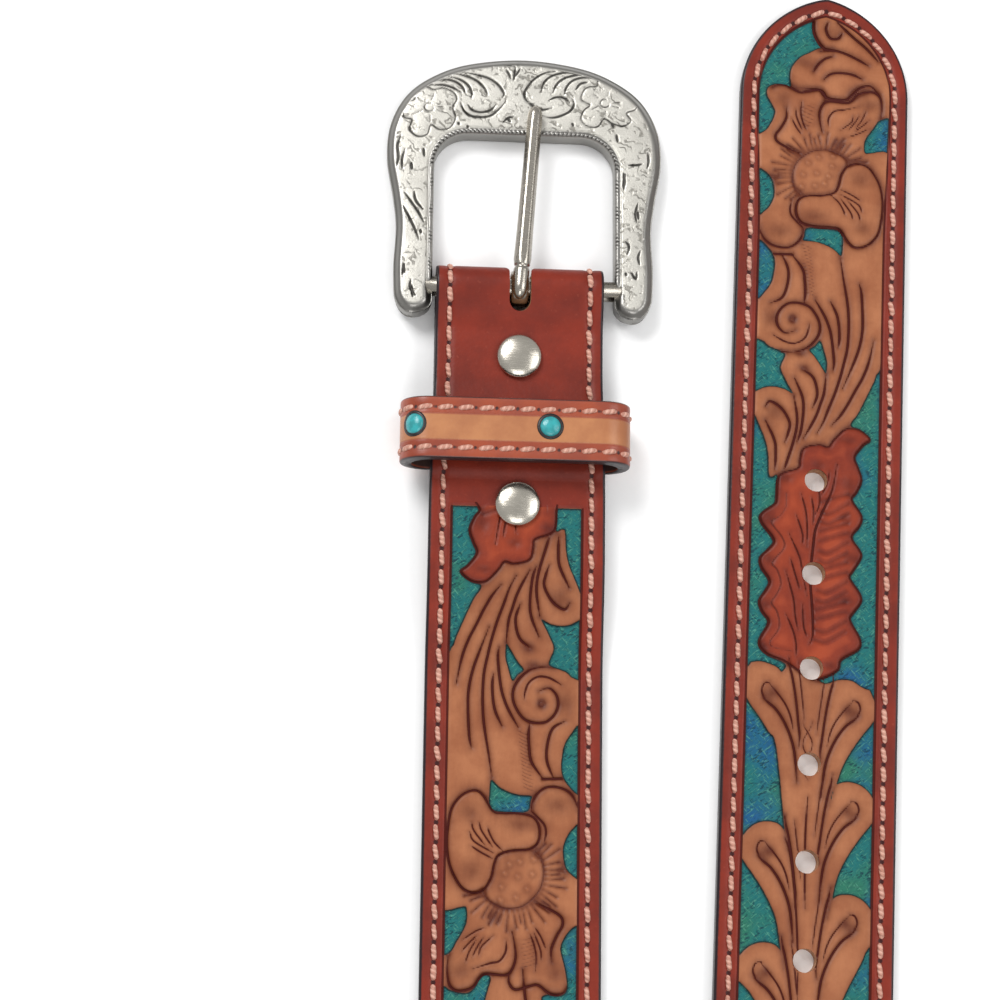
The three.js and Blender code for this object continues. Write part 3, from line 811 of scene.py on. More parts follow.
def tooling(along, across):
    """All fields of the strap's face at places on it."""
    shape = along.shape
    values = {name: np.full(shape, Carving.FAR) for name in ("ground", "leaf", "cut", "vein")}
    lift = np.zeros(shape)
    shade = np.zeros(shape)
    sheets = [(UNIT, FIRST_LEAF + number * REPEAT) for number in range(-1, UNIT_COUNT)] + [(TIP, LAST_LEAF)]
    for sheet, start in sheets:
        inside = (along >= start + sheet.along[0]) & (along <= start + sheet.along[-1])
        if sheet is UNIT and start + REPEAT > LAST_LEAF - 5:
            inside &= along <= LAST_LEAF + 6
        if not inside.any():
            continue
        u, v = across[inside], along[inside] - start
        for name in values:
            values[name][inside] = np.maximum(values[name][inside], sheet.sample(sheet.fields[name], u, v))
        lift[inside] += sheet.sample(sheet.lift, u, v)
        shade[inside] = np.maximum(shade[inside], sheet.sample(sheet.shade, u, v))
    lift = np.clip(lift, -1.15, 0.42)

    edge = from_edge(along, across)
    border = BORDER - 1.0 * ease(along, STRAP_LENGTH - 60, STRAP_LENGTH - 25)
    started = ease(along, TOOLING_START - 0.8, TOOLING_START + 0.8)
    inner = edge - border
    field = ease(inner, 0, 0.35) * started
    lift = lift * field
    values["ground"] = np.minimum(values["ground"], np.minimum(inner, along - TOOLING_START))
    values["leaf"] = np.where(along < TOOLING_START, np.maximum(values["leaf"], TOOLING_START - along),
                              values["leaf"])
    for name in ("cut", "vein"):
        values[name] = np.minimum(values[name], np.minimum(inner, along - TOOLING_START + 0.8))
    gutter = 0.26 - np.abs(inner)
    values["cut"] = np.maximum(values["cut"], np.where(along > TOOLING_START, gutter, Carving.FAR))
    lift -= 0.3 * np.exp(-(inner / 0.4) ** 2) * started
    lift -= 0.34 * np.exp(-((edge - STITCH_INSET) / 0.75) ** 2)
    values["edge"] = edge
    values["border"] = np.minimum(inner, (along - TOOLING_START) * 0.5)
    values["shade"] = np.clip(shade, 0, 1.6) * field
    return values, lift


# Mesh helpers

def mesh_piece(name, points, faces, finish, fields=None, layout=None):
    """A piece from points in millimetres and faces of three or four corners."""
    mesh = bpy.data.meshes.new(name)
    faces = np.asarray(faces)
    mesh.vertices.add(len(points))
    mesh.vertices.foreach_set("co", (np.asarray(points, np.float64) * MM).ravel())
    corners = faces.shape[1]
    mesh.loops.add(faces.size)
    mesh.loops.foreach_set("vertex_index", faces.ravel().astype(np.int32))
    mesh.polygons.add(len(faces))
    mesh.polygons.foreach_set("loop_start", np.arange(0, faces.size, corners, dtype=np.int32))
    mesh.polygons.foreach_set("use_smooth", np.full(len(faces), True))
    mesh.update(calc_edges=True)
    for field, value in (fields or {}).items():
        attribute = mesh.attributes.new(field, "FLOAT", "POINT")
        attribute.data.foreach_set("value", value.astype(np.float32).ravel())
    if layout is not None:
        layer = mesh.uv_layers.new(name="UVMap")
        layer.data.foreach_set("uv", layout[faces.ravel()].astype(np.float32).ravel())
    mesh.materials.append(finish)
    piece = bpy.data.objects.new(name, mesh)
    bpy.context.scene.collection.objects.link(piece)
    return piece


def grid_faces(rows, columns, wrap_columns=False, wrap_rows=False):
    row = np.arange(rows if wrap_rows else rows - 1)
    column = np.arange(columns if wrap_columns else columns - 1)
    i, j = np.meshgrid(row, column, indexing="ij")
    i_next, j_next = (i + 1) % rows, (j + 1) % columns
    return np.stack([i * columns + j, i_next * columns + j, i_next * columns + j_next, i * columns + j_next],
                    -1).reshape(-1, 4)


def join_grids(parts):
    """Points and faces of several grids as one."""
    points, faces, start = [], [], 0
    for part_points, part_faces in parts:
        points.append(part_points.reshape(-1, 3))
        faces.append(part_faces + start)
        start += len(points[-1])
    return np.concatenate(points), np.concatenate(faces)


# Shader sums: a Wire is one socket, and sums on it add Math nodes

class Wire:
    def __init__(self, finish, socket):
        self.finish = finish
        self.socket = socket

    def math(self, operation, *values):
        return self.finish.node("ShaderNodeMath", {"operation": operation}, dict(enumerate(values)))

    def __add__(self, other):
        return self.math("ADD", self, other)

    def __sub__(self, other):
        return self.math("SUBTRACT", self, other)

    def __rsub__(self, other):
        return self.math("SUBTRACT", other, self)

    def __mul__(self, other):
        return self.math("MULTIPLY", self, other)

    __radd__ = __add__
    __rmul__ = __mul__

    def at_most(self, other):
        return self.math("MINIMUM", self, other)

    def at_least(self, other):
        return self.math("MAXIMUM", self, other)

    def step(self, low, high):
        """0 below low, 1 above high, and smooth between."""
        return self.finish.node("ShaderNodeMapRange", {"interpolation_type": "SMOOTHSTEP"},
                                {"Value": self, "From Min": low, "From Max": high})


class Finish:
    """A material's nodes."""

    def __init__(self, name):
        self.material = bpy.data.materials.new(name)
        self.material.use_nodes = True
        self.tree = self.material.node_tree
        self.tree.nodes.clear()

    def node(self, kind, settings=None, inputs=None, output=0):
        node = self.tree.nodes.new(kind)
        for setting, value in (settings or {}).items():
            setattr(node, setting, value)
        for socket, value in (inputs or {}).items():
            if isinstance(value, Wire):
                self.tree.links.new(value.socket, node.inputs[socket])
            else:
                node.inputs[socket].default_value = value
        return Wire(self, node.outputs[output]) if node.outputs else node

    def field(self, name):
        return self.node("ShaderNodeAttribute", {"attribute_name": name}, output=2)

    def mix(self, share, first, second):
        return self.node("ShaderNodeMix", {"data_type": "RGBA"}, {0: share, 6: first, 7: second}, output=2)

    def layout(self):
        return self.node("ShaderNodeUVMap", {"uv_map": "UVMap"})

    def solid_place(self):
        return self.node("ShaderNodeTexCoord", output=3)

    def stretched(self, vector, scale, turn=0.0):
        inputs = {"Vector": vector, "Scale": scale, "Rotation": (0, 0, turn)}
        return self.node("ShaderNodeMapping", None, inputs)

    def noise(self, vector, scale, detail=2.0, roughness=0.5):
        inputs = {"Vector": vector, "Scale": scale, "Detail": detail, "Roughness": roughness}
        return self.node("ShaderNodeTexNoise", None, inputs)

    def cells(self, vector, scale, feature):
        return self.node("ShaderNodeTexVoronoi", {"feature": feature}, {"Vector": vector, "Scale": scale})

    def bump(self, height, depth):
        return self.node("ShaderNodeBump", None, {"Height": height, "Distance": depth, "Strength": 1.0})

    def surface(self, inputs):
        shader = self.node("ShaderNodeBsdfPrincipled", None, inputs)
        self.node("ShaderNodeOutputMaterial", None, {"Surface": shader})
        return self.material


def paint(red, green, blue):
    """A colour as seen on screen, in the renderer's linear values."""
    channels = []
    for value in (red, green, blue):
        share = value / 255
        channels.append(share / 12.92 if share <= 0.04045 else ((share + 0.055) / 1.055) ** 2.4)
    return (*channels, 1.0)


TAN = paint(166, 106, 71)
TAN_DEEP = paint(143, 84, 53)
TAN_STAIN = paint(84, 34, 16)
RUST = paint(144, 55, 28)
RUST_DEEP = paint(116, 38, 20)
BORDER_RED = paint(128, 41, 24)
BORDER_DEEP = paint(101, 30, 18)
CUT_BROWN = paint(66, 12, 5)
EDGE_BLACK = paint(34, 24, 28)
TEAL = paint(16, 98, 98)
TEAL_BLUE = paint(12, 76, 122)
TEAL_GREEN = paint(34, 104, 84)
TEAL_LIGHT = paint(98, 168, 142)
THREAD = paint(212, 164, 146)


def tooled_leather():
    f = Finish("tooled_leather")
    place = f.layout()
    ground, leaf, cut, vein = (f.field(name) for name in ("ground", "leaf", "cut", "vein"))
    shade, edge, border, back = (f.field(name) for name in ("shade", "edge", "border", "back"))
    mottle = f.noise(place, 90, 4, 0.6)
    fine = f.noise(place, 900, 3, 0.6)
    cloud = f.noise(place, 38, 2)
    wobble = (fine - 0.5) * 0.16

    tan = f.mix(mottle.step(0.3, 0.7), TAN, TAN_DEEP)
    streaks = f.noise(f.stretched(place, (900, 220, 1)), 1.0, 3, 0.6)
    burnish = shade * 0.78 + (fine - 0.5) * 0.16 + (streaks - 0.5) * 0.3 + (cloud - 0.5) * 0.2
    tan = f.mix(burnish.at_least(0).at_most(0.94), tan, TAN_STAIN)
    rust = f.mix(mottle.step(0.35, 0.7), RUST, RUST_DEEP)
    rust = f.mix((shade * 0.66 + (streaks - 0.5) * 0.25).at_least(0).at_most(0.9), rust, CUT_BROWN)
    # Lighter rust where the shade field is low: a painted highlight on the leaf's raised flats.
    rust = f.mix((0.12 - shade).step(0, 0.12) * 0.35, rust, paint(168, 74, 42))
    carved = f.mix((leaf + wobble * 0.5).step(-0.05, 0.12), tan, rust)

    hatch_one = f.noise(f.stretched(f.stretched(place, (1, 1, 1), 0.75), (2300, 420, 1)), 1.0, 2, 0.6)
    hatch_two = f.noise(f.stretched(f.stretched(place, (1, 1, 1), -0.85), (2300, 420, 1)), 1.0, 2, 0.6)
    scratches = hatch_one.at_least(hatch_two).step(0.55, 0.68)
    wash = f.mix(cloud.step(0.5, 0.66), TEAL, TEAL_BLUE)
    wash = f.mix(f.noise(place, 55, 2).step(0.5, 0.66), wash, TEAL_GREEN)
    # Darker teal along the ground's edge: partly dark dye, partly painted shade at the foot of the raised
    # forms.
    wash = f.mix((1 - ground.step(0.2, 1.1)) * 0.5, wash, paint(10, 56, 66))
    wash = f.mix(scratches * 0.4, wash, TEAL_LIGHT)
    dashes = f.noise(f.stretched(f.stretched(place, (1, 1, 1), 0.5), (900, 2100, 1)), 1.0, 2)
    blots = f.noise(place, 330, 3, 0.6).step(0.48, 0.62)
    pits = dashes.step(0.5, 0.62) * (blots * 0.75 + 0.25)
    wash = f.mix(pits * 0.8, wash, paint(4, 46, 62))
    # A near-black line inside the ground along its edge: partly dark dye, partly painted shade under the
    # raised forms' walls.
    wash = f.mix((1 - (ground + wobble).step(0.22, 0.5)) * 0.85, wash, paint(14, 22, 20))
    carved = f.mix((ground + wobble).step(-0.02, 0.14), carved, wash)

    lines = cut.step(-0.04, 0.14)
    carved = f.mix(vein.step(-0.1, 0.1) * 0.75, carved, CUT_BROWN)
    carved = f.mix(lines, carved, f.mix(mottle, CUT_BROWN, paint(88, 30, 16)))

    red = f.mix(mottle.step(0.25, 0.75), BORDER_RED, BORDER_DEEP)
    red = f.mix(fine.step(0.6, 0.8) * 0.25, red, paint(170, 84, 62))
    # The stitch holes are only painted dark red-brown: painted shade inside holes that the mesh doesn't have.
    holes = f.field("hole")
    red = f.mix(holes.step(-0.05, 0.2), red, paint(52, 10, 8))
    whole = f.mix((border + wobble * 0.5).step(-0.06, 0.06), red, carved)
    whole = f.mix(cut.step(-0.04, 0.14) * border.step(-0.6, -0.3), whole, CUT_BROWN)
    paint_edge = 1 - (edge + wobble * 2).step(0.3, 0.8)
    whole = f.mix(paint_edge, whole, EDGE_BLACK)
    flesh = f.mix(mottle, paint(58, 34, 28), paint(84, 52, 40))
    whole = f.mix(back, whole, flesh)

    grain = f.cells(place, 1400, "SMOOTH_F1")
    pores = f.noise(place, 2600, 2)
    height = grain * 0.05 + pores * 0.03 + mottle * 0.05
    hatching = (scratches * 0.16 - pits * 0.2) * ground.step(0, 0.15)
    height = height + hatching - lines * 0.22 - vein.step(-0.1, 0.1) * 0.12
    height = height + (f.noise(f.stretched(place, (300, 1400, 1)), 1.0, 3) * 0.25 * back)
    rough = 0.46 + lines * 0.3 + (mottle - 0.5) * 0.2 + ground.step(0, 0.2) * 0.12
    rough = rough + back * 0.35 - paint_edge * 0.12
    return f.surface({
        "Base Color": whole,
        "Roughness": rough,
        "Normal": f.bump(height, 0.0006),
        "Specular IOR Level": 0.24,
    })


def thread_finish():
    f = Finish("waxed_thread")
    place = f.layout()
    strand = f.node("ShaderNodeTexWave", {"bands_direction": "DIAGONAL"},
                    {"Vector": place, "Scale": 1.1, "Distortion": 1.0, "Detail": 1.0})
    soil = f.noise(f.solid_place(), 900, 3)
    colour = f.mix(strand, paint(186, 132, 114), THREAD)
    colour = f.mix(soil.step(0.45, 0.75) * 0.5, colour, paint(164, 96, 78))
    return f.surface({
        "Base Color": colour,
        "Roughness": 0.6,
        "Normal": f.bump(strand + soil * 0.5, 0.00018),
    })


def lined_leather():
    """The keeper's leather: an orange-brown border round a lighter band."""
    f = Finish("keeper_leather")
    place = f.solid_place()
    side = f.field("side")
    mottle = f.noise(place, 120, 4, 0.6)
    fine = f.noise(place, 1200, 2)
    band = f.mix(mottle.step(0.3, 0.7), paint(178, 118, 75), paint(160, 99, 60))
    rim = f.mix(mottle.step(0.3, 0.7), paint(152, 66, 36), paint(132, 53, 30))
    inner = 1 - (side.math("ABSOLUTE", side) + (fine - 0.5) * 0.1).step(2.8, 3.1)
    colour = f.mix(inner, rim, band)
    from_line = side.math("ABSOLUTE", side) - 2.95
    line = 1 - from_line.math("ABSOLUTE", from_line).step(0.05, 0.3)
    colour = f.mix(line * 0.45, colour, paint(140, 62, 38))
    edge = f.field("edge")
    painted = 1 - edge.step(0.1, 0.5)
    colour = f.mix(painted, colour, EDGE_BLACK)
    # The stitch holes are only painted dark: painted shade inside holes that the mesh doesn't have.
    holes = f.field("hole")
    colour = f.mix(holes.step(-0.05, 0.2), colour, paint(50, 16, 12))
    back = f.field("back")
    colour = f.mix(back, colour, paint(60, 36, 30))
    height = f.cells(place, 1500, "SMOOTH_F1") * 0.05 + mottle * 0.06 - line * 0.15
    return f.surface({
        "Base Color": colour,
        "Roughness": 0.4 + (mottle - 0.5) * 0.2 + back * 0.3,
        "Normal": f.bump(height, 0.0005),
        "Coat Weight": 0.08,
        "Coat Roughness": 0.25,
    })


def nickel(name, tone, rough, engraved=False):
    f = Finish(name)
    place = f.solid_place()
    cloud = f.noise(place, 160, 3)
    scuff = f.noise(f.stretched(place, (600, 4000, 600)), 1.0, 2)
    colour = f.mix(cloud.step(0.3, 0.7), tone, tuple(channel * 0.86 for channel in tone[:3]) + (1.0,))
    height = scuff * 0.2 + cloud * 0.2
    roughness = rough + (cloud - 0.5) * 0.14 + scuff.step(0.5, 0.7) * 0.06
    if engraved:
        cut = f.field("cut")
        face = f.field("face")
        stipple = f.noise(place, 2600, 3, 0.7)
        dark = cut.step(-0.12, 0.1)
        wriggle = f.node("ShaderNodeTexWave", {"wave_type": "BANDS", "bands_direction": "DIAGONAL"}, {
            "Vector": place, "Scale": 210, "Distortion": 14.0, "Detail": 2.0, "Detail Scale": 1.6}, output=1)
        strokes = wriggle.step(0.62, 0.86) * f.noise(place, 330, 2).step(0.44, 0.6)
        # Off the engraved face the rims are painted darker: a painted dark reflection on the bevelled rims.
        colour = f.mix(1 - face, colour, paint(142, 140, 136))
        colour = f.mix(face * stipple.step(0.5, 0.75) * 0.4, colour, paint(150, 146, 136))
        colour = f.mix(face * strokes * 0.6, colour, paint(96, 92, 84))
        colour = f.mix(dark * 0.92, colour, paint(46, 44, 42))
        height = height + face * stipple * 0.5 - dark * 0.6 - face * strokes * 0.9
        roughness = roughness + face * 0.1
    return f.surface({
        "Base Color": colour,
        "Metallic": 1.0,
        "Roughness": roughness,
        "Normal": f.bump(height, 0.00012),
    })


def plain_finish(name, tone, rough, depth=0.0001):
    f = Finish(name)
    cloud = f.noise(f.solid_place(), 700, 3)
    share = 0.7 if depth else 0.99
    darker = tuple(channel * share for channel in tone[:3]) + (1.0,)
    return f.surface({
        "Base Color": f.mix(cloud.step(0.35, 0.7), tone, darker),
        "Roughness": rough + (cloud - 0.5) * 0.15,
        "Normal": f.bump(cloud, depth),
    })


LEATHER = tooled_leather()
THREAD_FINISH = thread_finish()
KEEPER_LEATHER = lined_leather()
FRAME_NICKEL = nickel("frame_nickel", paint(204, 201, 193), 0.34, engraved=True)
PRONG_NICKEL = nickel("prong_nickel", paint(176, 170, 160), 0.24)
SNAP_NICKEL = nickel("snap_nickel", paint(204, 198, 186), 0.24)


# Strap

def spaced(start, end, step):
    return np.linspace(start, end, max(2, int(round(abs(end - start) / step)) + 1))


def face_columns(fine):
    """Columns over the face, as places across the full strap: edges, border and tooling."""
    half = STRAP_HALF - EDGE_EASE
    border = spaced(BORDER - 0.55, EDGE_EASE + 0.1, 0.42)
    inner = STRAP_HALF - BORDER + 0.15
    middle = spaced(-inner, inner, fine)
    outer = STRAP_HALF - border
    outer = outer[outer < half - 0.1]
    return np.concatenate([[-half], -outer[::-1], middle, outer, [half]])


def back_columns():
    half = STRAP_HALF - EDGE_EASE
    beside_stitches = STRAP_HALF - STITCH_INSET + spaced(-1.4, 1.4, 0.7)
    outer = np.concatenate([spaced(4.0, 14.5, 3.5), beside_stitches, [half]])
    return np.concatenate([outer[::-1], spaced(3.5, -3.5, 0.5), -outer])


def opening_outlines():
    """What is cut through the strap: the slot at the fold and the holes at the tip."""
    outlines = []
    slot = []
    end = SLOT_LENGTH - SLOT_HALF
    other = FLAP_START - (SLOT_LENGTH - BAR_HEIGHT) + SLOT_HALF
    for turn in np.linspace(math.pi / 2, -math.pi / 2, 13):
        slot.append((end + SLOT_HALF * math.cos(turn), SLOT_HALF * math.sin(turn)))
    for turn in np.linspace(-math.pi / 2, -3 * math.pi / 2, 13):
        slot.append((other + SLOT_HALF * math.cos(turn), SLOT_HALF * math.sin(turn)))
    slot = np.array(slot)
    fine = []
    for a, b in zip(slot, np.roll(slot, -1, axis=0)):
        count = max(1, int(np.linalg.norm(b - a) / 0.4))
        fine.extend(a + (b - a) * share for share in np.arange(count) / count)
    fine = np.array(fine)
    mouth = BAR_HEIGHT - FOLD_ARC / 2
    flare = SLOT_FLARE * (1 - ease(np.abs(fine[:, 0] - mouth), 0.5, 4.2))
    fine[:, 1] += np.sign(fine[:, 1]) * flare
    outlines.append(fine)
    for hole in range(HOLE_COUNT):
        centre = STRAP_LENGTH - FIRST_HOLE - hole * HOLE_PITCH
        turns = np.linspace(0, 2 * math.pi, 40, endpoint=False)
        outlines.append(np.stack([centre + HOLE_RADIUS * np.cos(turns), HOLE_RADIUS * np.sin(turns)], 1))
    return outlines


OPENINGS = opening_outlines()


def open_up(along, across, step):
    """Moves the nearest places onto each opening's rim and tells which places lie inside."""
    along, across = along.copy(), across.copy()
    hidden = np.zeros(along.shape, bool)
    for rim in OPENINGS:
        near = ((along > rim[:, 0].min() - 1) & (along < rim[:, 0].max() + 1)
                & (np.abs(across) < np.abs(rim[:, 1]).max() + 1))
        if not near.any():
            continue
        a, c = along[near], across[near]
        gaps = np.hypot(a[:, None] - rim[None, :, 0], c[:, None] - rim[None, :, 1])
        closest = gaps.argmin(1)
        gap = gaps[np.arange(len(a)), closest]
        inside = inside_outline(rim, a, c)
        snap = (gap < step * 0.75) | (inside & (gap < step * 1.7))
        along[near] = np.where(snap, rim[closest, 0], a)
        across[near] = np.where(snap, rim[closest, 1], c)
        hidden[near] |= inside | snap
    return along, across, hidden


def strap_stretch(name, rows, fine):
    """One stretch of the strap: its face, both edges and its back, as one skin."""
    face = face_columns(fine)
    back = back_columns()
    turns = np.linspace(0, math.pi / 2, 4)[1:]
    right = STRAP_HALF - EDGE_EASE
    side_out = np.concatenate([right + EDGE_EASE * np.sin(turns), right + EDGE_EASE * np.cos(turns)])
    side_level = np.concatenate([-EDGE_EASE * (1 - np.cos(turns)), EDGE_EASE * (1 - np.sin(turns))])
    side_low = np.array([False] * len(turns) + [True] * len(turns))
    side_out, side_level, side_low = side_out[:-1], side_level[:-1], side_low[:-1]
    column = np.concatenate([face, side_out, back, -side_out[::-1]])
    level = np.concatenate([np.zeros(len(face)), side_level, np.zeros(len(back)), side_level[::-1]])
    low = np.concatenate([np.zeros(len(face), bool), side_low, np.ones(len(back), bool), side_low[::-1]])

    along = np.repeat(rows[:, None], len(column), 1)
    share = half_width(rows)[:, None] / STRAP_HALF
    across = column[None, :] * share
    thick = look_up(LIE_THICK, along)
    ease_share = np.minimum(1, thick / THICKNESS) * np.minimum(1, share * 3)
    out = np.where(low[None, :], -thick, 0) + level[None, :] * ease_share

    flat = np.arange(len(column)) < len(face)
    hidden = np.zeros(along.shape, bool)
    for group, size in ((flat, max(fine, 0.34)), (low & (np.abs(level) < 1e-9), 0.5)):
        a, c, h = open_up(along[:, group], across[:, group], size)
        along[:, group], across[:, group], hidden[:, group] = a, c, h

    values, lift = tooling(along[:, flat], across[:, flat])
    out[:, flat] += lift
    from_row = (half_width(rows)[:, None] - np.abs(across) - STITCH_INSET) / 0.9
    out += np.where(low & (np.abs(level) < 1e-9), 0.34 * np.exp(-from_row ** 4), 0)
    fields = {}
    for key in ("ground", "leaf", "cut", "vein", "shade", "edge", "border"):
        default = {"edge": 0.0, "shade": 0.0}.get(key, Carving.FAR)
        whole = np.full(along.shape, default)
        whole[:, flat] = values[key]
        fields[key] = whole
    sunk = low[None, :] & (np.abs(level) < 1e-9)[None, :]
    fields["back"] = np.where(np.broadcast_to(sunk, along.shape), 1.0, 0.0)
    fields["edge"] = np.where(np.broadcast_to(sunk, along.shape), 3.0, fields["edge"])
    fields["hole"] = stitch_holes(along, across, flat)

    points = on_strap(along, across, out)
    faces = grid_faces(len(rows), len(column), wrap_columns=True)
    gone = hidden.ravel()[faces].all(1)
    layout = np.stack([across * MM, along * MM], -1).reshape(-1, 2)
    return mesh_piece(name, points.reshape(-1, 3), faces[~gone], LEATHER, fields, layout)


def stitch_holes(along, across, flat):
    """How far each place lies inside a stitch hole."""
    field = np.full(along.shape, Carving.FAR)
    low, high = along.min() - 1, along.max() + 1
    for place in STITCH_HOLES[(STITCH_HOLES[:, 0] > low) & (STITCH_HOLES[:, 0] < high)]:
        rows = np.abs(along[:, 0] - place[0]) < 1.5
        gap = np.hypot(along[rows] - place[0], across[rows] - place[1])
        field[rows] = np.maximum(field[rows], np.where(flat[None, :], 0.62 - gap, Carving.FAR))
    return field


def tip_rows(start, step):
    straight = spaced(start, STRAP_LENGTH - TIP_LENGTH, step)
    back = TIP_LENGTH * (1 - np.sin(np.linspace(0, math.pi / 2, 90)))
    return np.concatenate([straight[:-1], STRAP_LENGTH - np.maximum(back, 0.02)])


def opening_walls():
    """The inside walls of the slot and of the holes."""
    parts = []
    for rim in OPENINGS:
        levels = np.linspace(0, 1, 4)
        thick = look_up(LIE_THICK, rim[:, 0])
        out = -0.12 - levels[:, None] * (thick - 0.12)[None, :]
        points = on_strap(np.broadcast_to(rim[:, 0], out.shape), np.broadcast_to(rim[:, 1], out.shape), out)
        parts.append((points, grid_faces(len(levels), len(rim), wrap_columns=True)))
    points, faces = join_grids(parts)
    finish = plain_finish("cut_leather", paint(176, 128, 92), 0.7)
    return mesh_piece("strap_hole_walls", points, faces, finish)


def stitches(name, places, directions, level, pieces=(8, 7), length=4.05, width=1.2, height=0.56):
    """A row of stitches, each a plump slanted thread whose ends dive into the leather."""
    around, along_count = pieces
    turns = np.linspace(0, 2 * math.pi, around, endpoint=False)
    spots = np.linspace(-1, 1, along_count)
    girth = (1 - np.abs(spots) ** 4) ** 0.5
    girth = np.maximum(girth, 0.12)
    jitter = chance.normal(0, 0.05, (len(places), 3))
    slant = math.radians(7) + jitter[:, 0]
    forward = directions
    side = np.stack([-directions[:, 1], directions[:, 0]], 1)
    lengthwise = forward * np.cos(slant)[:, None] + side * np.sin(slant)[:, None]
    sideways = -forward * np.sin(slant)[:, None] + side * np.cos(slant)[:, None]
    reach = spots * length / 2
    bulge = girth[:, None] * np.cos(turns)[None, :] * width / 2
    flat = (places[:, None, None, :] + lengthwise[:, None, None, :] * reach[None, :, None, None]
            + sideways[:, None, None, :] * bulge[None, :, :, None]
            * (1 + jitter[:, 1])[:, None, None, None])
    sunk = -0.7 * np.abs(spots) ** 5
    rise = sunk[:, None] + girth[:, None] * np.sin(turns)[None, :] * height
    under = math.copysign(1, level[0] + 1.2)
    out = level[:, None, None] + np.broadcast_to(rise * under, flat.shape[:3])
    points = on_strap(flat[..., 0], flat[..., 1], out)
    one = grid_faces(along_count, around, wrap_columns=True)
    size = along_count * around
    faces = (one[None] + (np.arange(len(places)) * size)[:, None, None]).reshape(-1, 4)
    u = np.broadcast_to(np.linspace(0, 2, along_count)[:, None], (along_count, around))
    v = np.broadcast_to(np.linspace(0, 1, around)[None, :], (along_count, around))
    layout = np.tile(np.stack([u, v], -1).reshape(-1, 2), (len(places), 1))
    return mesh_piece(name, points.reshape(-1, 3), faces, THREAD_FINISH, None, layout)


def build_strap():
    fold_rows = np.concatenate([spaced(FLAP_END, -18, 1.2)[:-1], spaced(-18, 12, 0.34)[:-1],
                                spaced(12, TOOLING_START - 6, 0.5)])
    stretches = [
        ("strap_fold", fold_rows, 0.4),
        ("strap_buckle_run", spaced(TOOLING_START - 6, 180, 0.3), 0.3),
        ("strap_run_one", spaced(180, 400, 0.56), 0.5),
        ("strap_run_two", spaced(400, 620, 0.56), 0.5),
        ("strap_run_three", spaced(620, 848, 0.56), 0.5),
        ("strap_tip_run", tip_rows(848, 0.41), 0.31),
    ]
    pieces = [strap_stretch(name, rows, fine) for name, rows, fine in stretches]
    pieces.append(opening_walls())
    thick = look_up(LIE_THICK, STITCHES[:, 0])
    level = np.where(STITCHES[:, 0] < FLAP_START + 3, -0.55, -0.1)
    pieces.append(stitches("strap_stitches", STITCHES, STITCH_DIRECTIONS, level))
    pieces.append(stitches("strap_back_stitches", STITCHES, STITCH_DIRECTIONS, 0.26 - thick,
                           (6, 5), 3.4, 1.1, 0.25))
    for piece in pieces:
        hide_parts("strap")
        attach(piece, "strap")


build_strap()


# Keeper

def rounded_path(left, right, bottom, top, radius, flat_count, turn_count):
    """A rounded box seen from the end, from the middle of its front, going right."""
    corners = [(right - radius, top - radius, math.pi / 2), (right - radius, bottom + radius, 0.0),
               (left + radius, bottom + radius, -math.pi / 2), (left + radius, top - radius, -math.pi)]
    points = [np.array([[(left + right) / 2, top]])]
    for x, z, start in corners:
        turns = start - np.linspace(0, math.pi / 2, turn_count)
        arc = np.stack([x + radius * np.cos(turns), z + radius * np.sin(turns)], 1)
        shares = np.linspace(0, 1, flat_count)[1:-1, None]
        points.append(points[-1][-1] + (arc[0] - points[-1][-1]) * shares)
        points.append(arc)
    shares = np.linspace(0, 1, flat_count)[1:-1, None]
    points.append(points[-1][-1] + (points[0][0] - points[-1][-1]) * shares)
    return np.concatenate(points)


def keeper_paths():
    back = FLAP_THICKNESS + CLEARANCE
    inner_back = back + KEEPER_BACK
    inner_front = inner_back + CLEARANCE + THICKNESS + KEEPER_ROOM
    front = inner_front + KEEPER_WALL
    half = KEEPER_SPAN / 2
    radius = (front - back) * 0.47
    outer = rounded_path(-half, half, back, front, radius, 26, 16)
    inner = rounded_path(-half + KEEPER_WALL, half - KEEPER_WALL, inner_back, inner_front,
                         radius - KEEPER_BACK, 26, 16)
    return outer, inner


def keeper_point(path, side, out=0.0):
    """Points on a keeper path: side is the place across its width."""
    ahead = np.roll(path, -1, axis=0) - np.roll(path, 1, axis=0)
    ahead /= np.linalg.norm(ahead, axis=1)[:, None]
    normal = np.stack([-ahead[:, 1], ahead[:, 0]], 1)
    moved = path + normal * np.asarray(out)[..., None]
    x = moved[..., 0] + KEEPER_SHIFT
    y = np.broadcast_to(side, x.shape) - KEEPER_PLACE
    return np.stack([x, y, moved[..., 1]], -1) + ORIGIN


